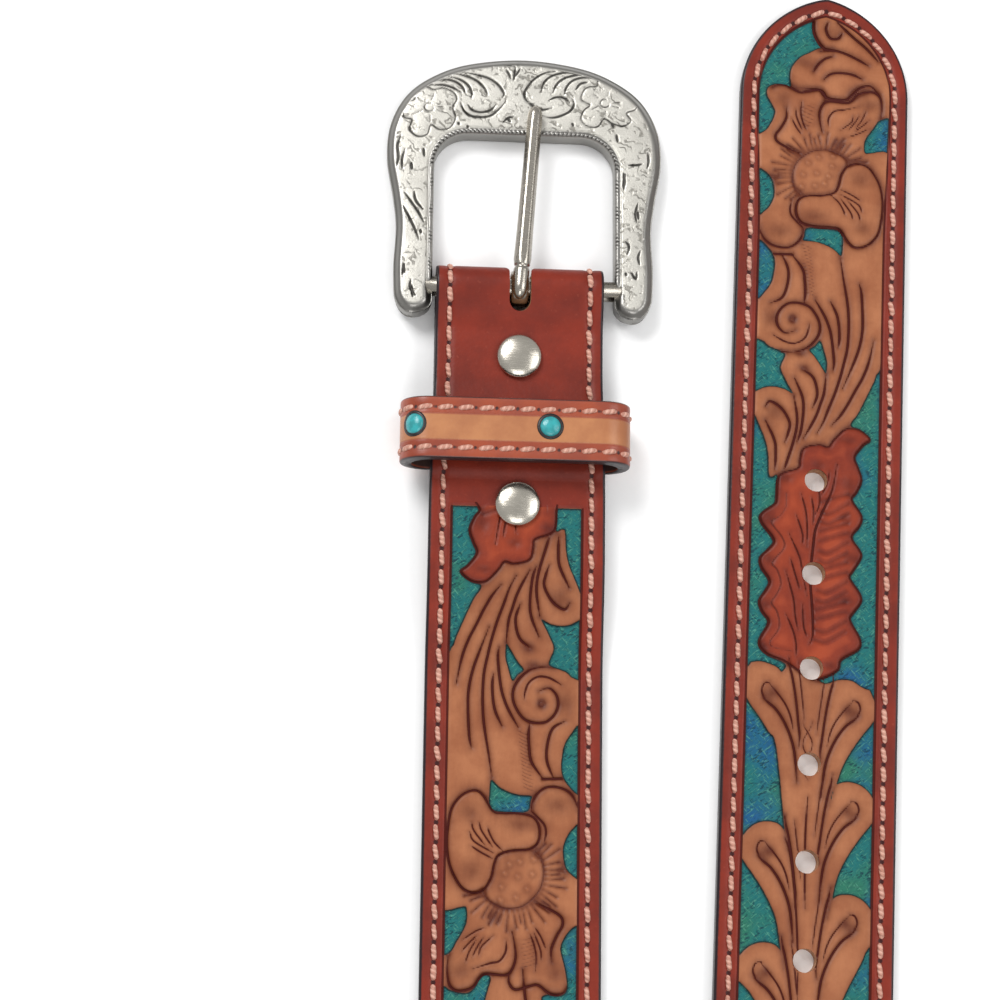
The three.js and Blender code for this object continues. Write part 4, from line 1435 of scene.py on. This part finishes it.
def build_keeper():
    outer, inner = keeper_paths()
    run = np.concatenate([[0], np.cumsum(np.linalg.norm(np.diff(outer, axis=0), axis=1))])
    total = run[-1] + np.linalg.norm(outer[0] - outer[-1])
    half = KEEPER_WIDTH / 2
    round_off = 0.5
    turns = np.linspace(0, math.pi / 2, 4)
    outer_side = np.concatenate([
        -(half - round_off + round_off * np.cos(turns)), spaced(-half + 0.9, half - 0.9, 0.35),
        (half - round_off + round_off * np.cos(turns))[::-1]])
    outer_drop = np.concatenate([-round_off * (1 - np.sin(turns)), np.zeros(len(outer_side) - 8),
                                 -round_off * (1 - np.sin(turns))[::-1]])
    row = np.abs(np.abs(outer_side) - 4.55)
    outer_drop = outer_drop - 0.22 * np.exp(-(row / 0.6) ** 2)
    parts, fields = [], {"side": [], "edge": [], "back": [], "hole": []}
    layout = []
    hole_places = []
    pitch = total / KEEPER_STITCHES
    for number in range(KEEPER_STITCHES):
        for line in KEEPER_LINES:
            hole_places.append(((number + 0.5) * pitch + 0.5 * pitch, line))
    for side, drop in zip(outer_side, outer_drop):
        points = keeper_point(outer, side, np.full(len(outer), drop))
        parts.append(points)
        fields["side"].append(np.full(len(outer), side))
        fields["edge"].append(np.full(len(outer), half - abs(side)))
        fields["back"].append(np.zeros(len(outer)))
        gap = np.full(len(outer), 9.0)
        for place, line in hole_places:
            away = np.abs((run - place + total / 2) % total - total / 2)
            gap = np.minimum(gap, np.hypot(away, side - line))
        fields["hole"].append(0.55 - gap)
        layout.append(np.stack([run * MM, np.full(len(outer), side * MM)], 1))
    for side in (half, half - 0.6, 0.0, -half + 0.6, -half):
        points = keeper_point(inner, side)
        parts.append(points)
        fields["side"].append(np.full(len(inner), side))
        flat_side = abs(side) < half - 0.1
        fields["edge"].append(np.full(len(inner), 2.0 if flat_side else 0.0))
        fields["back"].append(np.full(len(inner), 1.0 if flat_side else 0.0))
        fields["hole"].append(np.full(len(inner), -4.0))
        layout.append(np.stack([run * MM, np.full(len(inner), side * MM)], 1))
    points = np.stack(parts, 1)
    rows, columns = points.shape[:2]
    faces = grid_faces(rows, columns, wrap_columns=True, wrap_rows=True)
    values = {key: np.stack(value, 1) for key, value in fields.items()}
    band = mesh_piece("keeper_band", points.reshape(-1, 3), faces, KEEPER_LEATHER, values,
                      np.stack(layout, 1).reshape(-1, 2))

    count, around = 9, 8
    parts = []
    spots = np.linspace(-1, 1, count)
    girth = np.maximum((1 - np.abs(spots) ** 3) ** 0.5, 0.1)
    ring = np.linspace(0, 2 * math.pi, around, endpoint=False)
    for number in range(KEEPER_STITCHES):
        for line in KEEPER_LINES:
            middle = (number + 0.5) * pitch
            slant = 0.16
            along = middle + spots[:, None] * 2.0 - slant * girth[:, None] * np.cos(ring)[None, :] * 0.62
            side = line + spots[:, None] * slant * 2.0 + girth[:, None] * np.cos(ring)[None, :] * 0.62
            out = -0.1 - 0.6 * np.abs(spots[:, None]) ** 3 + girth[:, None] * np.sin(ring)[None, :] * 0.55
            parts.append((points_on_keeper(outer, run, total, along, side, out),
                          grid_faces(count, around, wrap_columns=True)))
    points, faces = join_grids(parts)
    u = np.tile(np.repeat(np.linspace(0, 2, count), around), len(parts))
    v = np.tile(np.tile(np.linspace(0, 1, around), count), len(parts))
    threads = mesh_piece("keeper_stitches", points, faces, THREAD_FINISH, None, np.stack([u, v], 1))

    dots, rings = [], []
    for place in (7.3, 37.4, total - 23.1, total - 53.4):
        radii = np.linspace(0, 1, 7)
        spokes = np.linspace(0, 2 * math.pi, 28, endpoint=False)
        for store, size, rise, base in ((dots, 2.25, 0.55, 0.15), (rings, 2.95, 0.0, 0.12)):
            along = place + size * radii[:, None] * np.cos(spokes)[None, :]
            side = 0.7 + size * radii[:, None] * np.sin(spokes)[None, :]
            out = base + rise * (1 - radii[:, None] ** 2.5) + 0 * side
            skirt_along, skirt_side = along[-1:], side[-1:]
            skirt_out = np.full_like(skirt_side, -0.3)
            grid = points_on_keeper(outer, run, total, np.concatenate([along, skirt_along]),
                                    np.concatenate([side, skirt_side]), np.concatenate([out, skirt_out]))
            store.append((grid, grid_faces(len(radii) + 1, len(spokes), wrap_columns=True)))
    dot_points, dot_faces = join_grids(dots)
    ring_points, ring_faces = join_grids(rings)
    stones = mesh_piece("keeper_dots", dot_points, dot_faces[:, ::-1],
                        plain_finish("turquoise", paint(52, 158, 162), 0.25))
    rims = mesh_piece("keeper_dot_rings", ring_points, ring_faces[:, ::-1],
                      plain_finish("black_rim", paint(26, 20, 22), 0.4))
    for piece in (band, threads, stones, rims):
        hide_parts("keeper")
        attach(piece, "strap")


def points_on_keeper(path, run, total, along, side, out):
    loop = np.concatenate([path, path[:1]])
    runs = np.concatenate([run, [total]])
    ahead = np.roll(path, -1, axis=0) - np.roll(path, 1, axis=0)
    ahead /= np.linalg.norm(ahead, axis=1)[:, None]
    normal = np.stack([-ahead[:, 1], ahead[:, 0]], 1)
    normal = np.concatenate([normal, normal[:1]])
    along = along % total
    x = np.interp(along, runs, loop[:, 0]) + np.interp(along, runs, normal[:, 0]) * out
    z = np.interp(along, runs, loop[:, 1]) + np.interp(along, runs, normal[:, 1]) * out
    return np.stack([x + KEEPER_SHIFT, side - KEEPER_PLACE + 0 * x, z], -1) + ORIGIN


build_keeper()


# Snaps

def turned(profile, spokes):
    """Points of a profile of (radius, height) turned about the vertical."""
    turns = np.linspace(0, 2 * math.pi, spokes, endpoint=False)
    profile = np.asarray(profile, float)
    radius, height = profile[:, 0][:, None], profile[:, 1][:, None]
    points = np.stack([radius * np.cos(turns), radius * np.sin(turns), height + 0 * turns], -1)
    return points, grid_faces(len(profile), spokes, wrap_columns=True)[:, ::-1]


def build_snap(name, place):
    base = float(layer_under(place) + layer_thickness(place)) + CLEARANCE
    dome = np.linspace(0, math.pi / 2, 14)
    profile = [(0.01, 0.0), (CAP_RADIUS - 0.3, 0.0), (CAP_RADIUS, 0.3), (CAP_RADIUS, 0.7),
               (CAP_RADIUS - 0.3, 0.9), (2.0, 0.95), (1.8, 1.2), (1.8, base - 0.3), (1.8, base),
               (CAP_RADIUS - 0.25, base), (CAP_RADIUS - 0.05, base + 0.1), (CAP_RADIUS, base + 0.28)]
    rise = CAP_HEIGHT - CAP_RIM
    profile += [(max(CAP_RADIUS * math.cos(turn) ** 0.9, 0.01), base + CAP_RIM + rise * math.sin(turn))
                for turn in dome]
    points, faces = turned(profile, 56)
    piece = mesh_piece(name + "_button", points.reshape(-1, 3) + ORIGIN + (0, -place, 0), faces, SNAP_NICKEL)
    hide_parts(name)
    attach(piece, "strap")


build_snap("snap_upper", UPPER_SNAP)
build_snap("snap_lower", LOWER_SNAP)


# Buckle frame, about the bar's axis
FRAME_HALF = 31.6
FRAME_REACH = 55.8
LEG_REACH = 6.9
OPENING_HALF = 20.8
OPENING_REACH = 36.7
OPENING_CORNER = 8.0
FRAME_THICKNESS = 5.0
FRAME_SHIFT = 0.9
FRAME_TILT = -math.asin((BAR_HEIGHT - FRAME_THICKNESS / 2) / FRAME_REACH)
BAR = ORIGIN + np.array([0, -BAR_HEIGHT, BAR_HEIGHT])
FRAME_EDGE = [(0.934, -0.02), (0.938, 0.09), (0.926, 0.25), (0.952, 0.38), (1.0, 0.545), (0.98, 0.69),
              (0.87, 0.82), (0.68, 0.91), (0.41, 0.972), (0.0, 1.0)]

# The engraving's points were placed at about 24 to the millimetre across, from the
# frame's middle and its bar.
ENGRAVING_MIDDLE = 750.4
ENGRAVING_BAR = 1390.3
ENGRAVING_PIXELS = (24.1, 23.31)
ENGRAVED_LINES = [
    [(490, 140), (560, 134), (620, 130), (688, 140)],
    [(705, 130), (760, 121), (820, 119), (872, 128)],
    [(640, 158), (656, 182), (668, 212)],
    [(692, 146), (690, 180), (684, 218)],
    [(720, 150), (706, 176), (690, 196)],
    [(395, 184), (470, 194), (545, 214), (600, 252), (630, 300), (620, 322)],
    [(350, 192), (420, 206), (480, 232), (520, 272), (540, 312)],
    [(318, 212), (380, 226), (428, 258), (450, 300), (448, 332)],
    [(262, 236), (320, 231), (368, 246), (400, 274), (414, 302)],
    [(228, 266), (288, 262), (342, 276), (392, 302)],
    [(150, 300), (185, 272), (230, 262)],
    [(390, 362), (408, 408), (446, 434), (500, 441), (560, 428), (604, 390), (642, 344)],
    [(430, 372), (452, 400), (500, 412), (556, 398), (590, 360)],
    [(925, 156), (860, 170), (800, 208), (760, 258), (744, 300), (760, 338), (800, 360)],
    [(1050, 165), (962, 165), (892, 190), (852, 230), (838, 284)],
    [(1110, 170), (1032, 176), (962, 200), (922, 240), (904, 286)],
    [(1124, 190), (1062, 190), (1010, 212), (980, 250), (968, 292)],
    [(1100, 214), (1058, 226), (1032, 262)],
    [(770, 346), (800, 372), (850, 384), (900, 372)],
    [(842, 420), (900, 428), (950, 416), (1000, 388), (1022, 350), (1012, 312)],
    [(880, 330), (920, 310), (970, 312), (1000, 340)],
    [(630, 462), (656, 438), (684, 432)],
    [(88, 888), (130, 946), (168, 1000), (196, 1052)],
    [(80, 962), (112, 1020), (142, 1080), (172, 1150)],
    [(140, 880), (150, 930), (190, 980)],
    [(60, 560), (44, 620), (50, 690), (34, 760)],
    [(84, 640), (70, 700), (72, 752)],
    [(130, 1376), (128, 1420), (156, 1462)],
    [(96, 1290), (86, 1322), (84, 1352)],
    [(1310, 740), (1300, 790), (1302, 830)],
    [(1380, 900), (1366, 960), (1372, 1010)],
    [(1330, 686), (1376, 684), (1404, 676)],
    [(1436, 610), (1440, 660), (1432, 700)],
    [(1310, 1120), (1330, 1150), (1318, 1196)],
    [(1392, 1170), (1380, 1210), (1388, 1250)],
    [(1340, 1296), (1366, 1330), (1372, 1290)],
]
ENGRAVED_NICKS = [(190, 654, 9, 22), (124, 736, 7, 18), (110, 524, 9, 14), (1264, 534, 12, 22),
                  (1016, 464, 10, 8),
                  (1240, 462, 14, 9), (1304, 768, 9, 34), (140, 1440, 10, 30), (92, 1312, 8, 26),
                  (1312, 1306, 7, 7),
                  (660, 452, 20, 9), (1380, 972, 7, 20), (180, 1104, 7, 10), (380, 482, 6, 6),
                  (430, 498, 6, 6)]
LEFT_BLOSSOM = [(200, 276), (240, 292), (290, 280), (345, 300), (368, 342), (346, 392), (362, 450),
                (332, 508),
                (272, 520), (226, 496), (206, 552), (150, 564), (108, 524), (120, 470), (76, 458), (68, 408),
                (86, 368), (134, 352), (128, 312), (160, 282)]
RIGHT_BLOSSOM = [(1078, 262), (1112, 240), (1152, 236), (1160, 202), (1228, 202), (1266, 244), (1336, 268),
                 (1382, 300), (1368, 362), (1318, 386), (1342, 430), (1300, 462), (1240, 450), (1192, 424),
                 (1158, 470), (1100, 470), (1062, 430), (1078, 380), (1112, 346), (1064, 318)]


def engraved(points):
    x, y = np.asarray(points, float).T
    across = (x - ENGRAVING_MIDDLE) / ENGRAVING_PIXELS[0]
    return np.stack([across, (ENGRAVING_BAR - y) / ENGRAVING_PIXELS[1]], 1)


def engrave_frame():
    sheet = Carving(engraved, -8, 58, 33)
    for line in ENGRAVED_LINES:
        sheet.line("cut", line, 0.5, 0.5)
    for blossom, centre in ((LEFT_BLOSSOM, (215, 395)), (RIGHT_BLOSSOM, (1196, 334))):
        path = flowing(engraved(blossom), closed=True)
        where, across, along = sheet.window(path, 2)
        gap = distance_to_line(np.concatenate([path, path[:1]]), across, along)
        inside = inside_outline(path, across, along)
        sheet.raise_field("cut", where, 0.16 - gap)
        sheet.raise_field("leaf", where, np.where(inside, gap, -gap))
        sheet.lift[where] += np.where(inside, 0.1 * (1 - np.exp(-gap / 0.6)), 0)
        ring = [(centre[0] + 26 * math.cos(turn), centre[1] + 24 * math.sin(turn))
                for turn in np.linspace(0, 5.2, 9)]
        sheet.line("cut", ring, 0.3)
        for turn in np.linspace(0.3, 6.2, 6):
            ray = [(centre[0] + share * math.cos(turn), centre[1] + share * math.sin(turn))
                   for share in (46, 84)]
            sheet.line("cut", ray, 0.2)
    for x, y, wide, tall in ENGRAVED_NICKS:
        sheet.line("cut", [(x - wide * 0.4, y - tall), (x, y), (x + wide * 0.4, y + tall)], 0.55, 0.5)
    return sheet


def frame_paths(count):
    """Matching points on the frame's outer edge and its opening, foot to foot."""
    edge = np.array(FRAME_EDGE) * (FRAME_HALF, FRAME_REACH)
    right = flowing(np.concatenate([edge, (edge[:-1] * (-1, 1))[::-1]]), steps=10)
    right = right[:len(right) // 2 + 1]
    foot = (edge[0, 0] + OPENING_HALF) / 2
    turns = np.linspace(-math.pi / 2, 0, 8)[:-1]
    start = np.stack([foot + (edge[0, 0] - foot) * np.cos(turns),
                      edge[0, 1] + (LEG_REACH + edge[0, 1]) * np.sin(turns)], 1)
    outer = np.concatenate([start, right])
    inner_foot = -LEG_REACH / 2
    turns = np.linspace(-math.pi / 2, -math.pi, 8)[:-1]
    low = np.stack([foot + (foot - OPENING_HALF) * np.cos(turns),
                    inner_foot + (LEG_REACH + inner_foot) * np.sin(turns)], 1)
    corner = np.linspace(0, math.pi / 2, 12)
    bend = np.stack([OPENING_HALF - OPENING_CORNER * (1 - np.cos(corner)),
                     OPENING_REACH - OPENING_CORNER * (1 - np.sin(corner))], 1)
    inner = np.concatenate([low, [[OPENING_HALF, inner_foot]], bend, [[0, OPENING_REACH]]])
    shares = np.linspace(0, 1, count)
    keys_outer = keyed_runs(outer, [(foot, -LEG_REACH), (edge[0, 0], 4.0), (29.5, 24.0), (28.6, 44.0),
                                    (0, FRAME_REACH)])
    keys_inner = keyed_runs(inner, [(foot, -LEG_REACH), (OPENING_HALF, 4.0), (OPENING_HALF, 24.0),
                                    (OPENING_HALF - 2.3, OPENING_REACH - 2.3), (0, OPENING_REACH)])
    knots = [0, 0.2, 0.42, 0.66, 1]
    half_outer = along_path(outer, np.interp(shares, knots, keys_outer))
    half_inner = along_path(inner, np.interp(shares, knots, keys_inner))
    left = (-1, 1)
    return (np.concatenate([half_outer * left, half_outer[-2::-1]]),
            np.concatenate([half_inner * left, half_inner[-2::-1]]))


def path_runs(path):
    return np.concatenate([[0], np.cumsum(np.linalg.norm(np.diff(path, axis=0), axis=1))])


def keyed_runs(path, keys):
    runs = path_runs(path)
    return [runs[np.linalg.norm(path - key, axis=1).argmin()] for key in np.array(keys, float)]


def along_path(path, where):
    runs = path_runs(path)
    return np.stack([np.interp(where, runs, path[:, 0]), np.interp(where, runs, path[:, 1])], 1)


def tilted(points, shift):
    """From the buckle's own flat frame to its lie on the belt."""
    cosine, sine = math.cos(FRAME_TILT), math.sin(FRAME_TILT)
    x = points[..., 0] + shift
    y = points[..., 1] * cosine - points[..., 2] * sine
    z = points[..., 1] * sine + points[..., 2] * cosine
    return np.stack([x, y, z], -1) + BAR


def build_frame():
    outer, inner = frame_paths(330)
    sheet = engrave_frame()
    half = FRAME_THICKNESS / 2
    rope = 1.15
    top_shares = np.linspace(0, 1, 54)
    top = []
    faces_on = []
    foot = inner[:, 1] < -1
    left, right = np.flatnonzero(~foot)[[0, -1]]
    rope_line = inner[left:right + 1]
    rims = (outer, inner[:left + 1], inner[right:])
    for share in top_shares:
        place = inner + (outer - inner) * share
        from_inner = distance_to_line(rope_line, place[:, 0], place[:, 1])
        from_outer = np.min([distance_to_line(rim, place[:, 0], place[:, 1]) for rim in rims], 0)
        height = half - 0.15 + 0.15 * np.sin(math.pi * share)
        height = height - 1.25 * (1 - ease(from_outer, 0.0, 2.1)) ** 1.6
        height = height - 0.8 * (1 - np.sqrt(np.clip(from_inner / 0.45, 0, 1)))
        height = height - 0.28 * np.exp(-((from_inner - rope - 0.15) / 0.22) ** 2)
        on_face = ease(from_inner, rope, rope + 0.4) * ease(from_outer, 1.6, 2.4)
        cut = sheet.sample(sheet.fields["cut"], place[:, 0], place[:, 1])
        lift = sheet.sample(sheet.lift, place[:, 0], place[:, 1])
        height = height + lift * on_face - 0.3 * np.clip((cut + 0.1) / 0.32, 0, 1) * on_face
        top.append(np.stack([place[:, 0], place[:, 1], height], 1))
        faces_on.append((on_face, np.where(on_face > 0.1, cut, -4)))
    runs = path_runs(inner)
    beads = 0.24 * np.abs(np.sin(math.pi * runs / 0.95)) - 0.14
    for number, share in enumerate(top_shares):
        from_inner = distance_to_line(rope_line, top[number][:, 0], top[number][:, 1])
        in_rope = np.exp(-((from_inner - rope / 2) / 0.4) ** 4)
        top[number][:, 2] += beads * in_rope
        between = np.where(in_rope > 0.3, 0.1 - np.abs(np.sin(math.pi * runs / 0.95)) * 0.3, -4)
        faces_on[number] = (faces_on[number][0], np.maximum(faces_on[number][1], between))
    walls = []
    step = np.gradient(outer, axis=0)
    outward = np.stack([-step[:, 1], step[:, 0]], 1) / np.linalg.norm(step, axis=1)[:, None]
    for level in np.linspace(0.85, -1, 7):
        bulge = 0.35 * math.sqrt(max(1 - level ** 2, 0))
        place = outer + outward * (bulge - 0.35)
        height = np.full(len(place), level * (half - 0.6) - 0.35)
        walls.append(np.stack([place[:, 0], place[:, 1], height], 1))
    backs = []
    for share in np.linspace(0.96, 0.04, 9):
        place = inner + (outer - inner) * share
        hollow = 0.45 * math.sin(math.pi * share)
        backs.append(np.stack([place[:, 0], place[:, 1], np.full(len(place), -half + hollow)], 1))
    inners = []
    for level in np.linspace(-0.9, 0.6, 6):
        inners.append(np.stack([inner[:, 0], inner[:, 1], np.full(len(inner), level * half)], 1))
    grid = np.stack(top + walls + backs + inners, 1)
    columns = grid.shape[1]
    blank = [(np.zeros(len(outer)), np.full(len(outer), -4.0))] * (columns - len(top))
    on_face = np.stack([value for value, _ in faces_on + blank], 1)
    cut = np.stack([value for _, value in faces_on + blank], 1)
    faces = grid_faces(len(outer), columns, wrap_columns=True)
    piece = mesh_piece("engraved_frame", tilted(grid, FRAME_SHIFT).reshape(-1, 3), faces, FRAME_NICKEL,
                       {"face": on_face, "cut": cut})
    bar_turns = np.linspace(0, 2 * math.pi, 28, endpoint=False)
    bar_x = np.array([-1.0, -0.97, 0.97, 1.0]) * (OPENING_HALF + 2.6)
    bar_radius = np.array([0.6, 1.0, 1.0, 0.6]) * BAR_RADIUS
    bar = np.stack([bar_x[:, None] + 0 * bar_turns, bar_radius[:, None] * np.cos(bar_turns),
                    bar_radius[:, None] * np.sin(bar_turns)], -1)
    rod = mesh_piece("frame_bar", tilted(bar, FRAME_SHIFT).reshape(-1, 3),
                     grid_faces(4, len(bar_turns), wrap_columns=True), PRONG_NICKEL)
    beads_piece = build_bead_row()
    for part in (piece, rod, beads_piece):
        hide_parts("buckle_frame")
        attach(part, "buckle_frame")


def build_bead_row():
    """The short row of beads on the outside of the left leg."""
    parts = []
    places = flowing(engraved([(66, 880), (70, 960), (80, 1030), (92, 1100)]), steps=12)
    runs = path_runs(places)
    count = 13
    for place in along_path(places, np.linspace(0, runs[-1], count)):
        rings = np.linspace(0.05, math.pi / 2, 5)
        spokes = np.linspace(0, 2 * math.pi, 10, endpoint=False)
        radius = 0.36
        dome = np.stack([place[0] + radius * np.sin(rings)[:, None] * np.cos(spokes),
                         place[1] + radius * np.sin(rings)[:, None] * np.sin(spokes),
                         1.75 + radius * np.cos(rings)[:, None] + 0 * spokes], -1)
        parts.append((dome, grid_faces(len(rings), len(spokes), wrap_columns=True)[:, ::-1]))
    points, faces = join_grids(parts)
    return mesh_piece("frame_beads", tilted(points, FRAME_SHIFT), faces, PRONG_NICKEL)


build_frame()


# Prong
PRONG_REACH = 43.3
PRONG_HALF = 1.75
RING_WALL = 1.6
RING_WIDTH = 4.2
PRONG_LEAN = math.radians(4.2)


def build_prong():
    ring_inner = BAR_RADIUS + CLEARANCE
    ring_outer = ring_inner + RING_WALL
    rod_height = ring_inner + RING_WALL / 2
    seat = OPENING_REACH * math.tan(FRAME_TILT) + FRAME_THICKNESS / 2 / math.cos(FRAME_TILT)
    pitch = math.atan((seat + CLEARANCE + PRONG_HALF - rod_height) / OPENING_REACH)
    bulb = -3.3 * np.cos(np.linspace(0, math.pi / 2, 9))
    places = np.concatenate([bulb, [1.0, 2.5], np.linspace(3.4, 5.2, 8), np.linspace(6, 40, 26),
                             PRONG_REACH - np.array([2.6, 2.0, 1.4, 0.9, 0.5, 0.2, 0.02])])
    spokes = np.linspace(0, 2 * math.pi, 32, endpoint=False)
    sections = []
    for place in places:
        half = np.interp(place, [0, 4, 6, 12, PRONG_REACH], [1.82, 1.82, 1.9, 1.8, 1.62])
        half *= math.sqrt(max(1 - (min(place, 0) / 3.32) ** 2, 0.0004))
        half -= 0.28 * math.exp(-((place - 4.2) / 0.35) ** 2)
        left = PRONG_REACH - place
        if left < 2.6:
            half *= math.sqrt(max(1 - ((2.6 - left) / 2.6) ** 2, 0.0004))
        ridge = 1 + 0.05 * np.cos(6 * spokes) * min(1, left / 5) * (place > 5.5)
        sections.append(np.stack([half * np.cos(spokes) * ridge, np.full(len(spokes), place),
                                  half * np.sin(spokes) * ridge], 1))
    rod = np.stack(sections)
    cosine, sine = math.cos(pitch), math.sin(pitch)
    y = rod[..., 1] * cosine - rod[..., 2] * sine
    z = rod[..., 1] * sine + rod[..., 2] * cosine
    x = rod[..., 0] * math.cos(-PRONG_LEAN) - y * math.sin(-PRONG_LEAN)
    y = rod[..., 0] * math.sin(-PRONG_LEAN) + y * math.cos(-PRONG_LEAN)
    rod = np.stack([x, y, z + rod_height], -1)
    parts = [(rod, grid_faces(len(places), len(spokes), wrap_columns=True)[:, ::-1])]
    turns = np.linspace(0, 2 * math.pi, 48, endpoint=False)
    profile = []
    for angle in np.linspace(0, 2 * math.pi, 20, endpoint=False):
        wide = 0.93 * RING_WIDTH / 2 * np.sign(math.cos(angle)) * abs(math.cos(angle)) ** 0.5
        deep = RING_WALL / 2 * np.sign(math.sin(angle)) * abs(math.sin(angle)) ** 0.7
        profile.append((wide, ring_inner + RING_WALL / 2 + deep))
    profile = np.array(profile)
    ring = np.stack([profile[None, :, 0] + 0 * turns[:, None], profile[None, :, 1] * np.cos(turns)[:, None],
                     profile[None, :, 1] * np.sin(turns)[:, None]], -1)
    parts.append((ring, grid_faces(len(turns), len(profile), wrap_columns=True, wrap_rows=True)[:, ::-1]))
    points, faces = join_grids(parts)
    piece = mesh_piece("prong_rod", points + BAR, faces, PRONG_NICKEL)
    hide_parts("prong")
    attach(piece, "prong")


build_prong()


# Floor, light and camera. The camera is fitted to outlines in the picture, at a given
# distance: nearer and farther ones fit nearly as well, at another tilt.
CAMERA_TILT = math.radians(12.21)
CAMERA_ROLL = math.radians(1.62)
CAMERA_PAN = math.radians(3.93)
CAMERA_TARGET = (-33.8, 153.7, 4.0)
CAMERA_DISTANCE = 600.0
CAMERA_LENS = 96.39


def build_stage():
    floor_finish = plain_finish("floor", (0.94, 0.94, 0.94, 1.0), 0.9, 0.0)
    mesh = bpy.data.meshes.new("floor")
    size = 3.0
    corners = [(-size, -size, 0), (size, -size, 0), (size, size, 0), (-size, size, 0)]
    mesh.from_pydata(corners, [], [(0, 1, 2, 3)])
    mesh.materials.append(floor_finish)
    floor = bpy.data.objects.new("floor", mesh)
    bpy.context.scene.collection.objects.link(floor)

    world = bpy.data.worlds.new("studio")
    world.use_nodes = True
    world.node_tree.nodes["Background"].inputs["Color"].default_value = (1, 1, 1, 1)
    world.node_tree.nodes["Background"].inputs["Strength"].default_value = 0.5
    bpy.context.scene.world = world
    for name, place, target, size, power in (
        ("key", (-0.5, 0.75, 0.9), (0, 0.1, 0), 0.5, 9.0),
        ("fill", (0.8, 0.2, 0.9), (0, 0.1, 0), 0.7, 5.0),
        ("front", (0.0, -0.6, 1.0), (0, 0.1, 0), 0.6, 4.0),
    ):
        light = bpy.data.lights.new(name, "AREA")
        light.size = size
        light.energy = power
        lamp = bpy.data.objects.new(name, light)
        lamp.location = place
        lamp.rotation_euler = (Vector(place) - Vector(target)).to_track_quat("Z", "Y").to_euler()
        bpy.context.scene.collection.objects.link(lamp)
    bpy.context.scene.view_settings.view_transform = "Standard"


def build_camera():
    tilt, roll, pan = CAMERA_TILT, CAMERA_ROLL, CAMERA_PAN
    target = Vector(CAMERA_TARGET) * MM
    distance = CAMERA_DISTANCE * MM
    right = Vector((1, 0, 0))
    up = Vector((0, math.cos(tilt), math.sin(tilt)))
    behind = Vector((0, -math.sin(tilt), math.cos(tilt)))
    right, up = right * math.cos(roll) + up * math.sin(roll), up * math.cos(roll) - right * math.sin(roll)
    right, behind = (right * math.cos(pan) + behind * math.sin(pan),
                     behind * math.cos(pan) - right * math.sin(pan))
    camera = bpy.data.cameras.new("camera")
    camera.lens = CAMERA_LENS
    camera.sensor_width = 36
    camera.clip_start = 0.01
    view = bpy.data.objects.new("camera", camera)
    place = target + behind * distance
    view.matrix_world = Matrix((
        (right.x, up.x, behind.x, place.x),
        (right.y, up.y, behind.y, place.y),
        (right.z, up.z, behind.z, place.z),
        (0, 0, 0, 1),
    ))
    bpy.context.scene.collection.objects.link(view)
    bpy.context.scene.camera = view


build_stage()
build_camera()
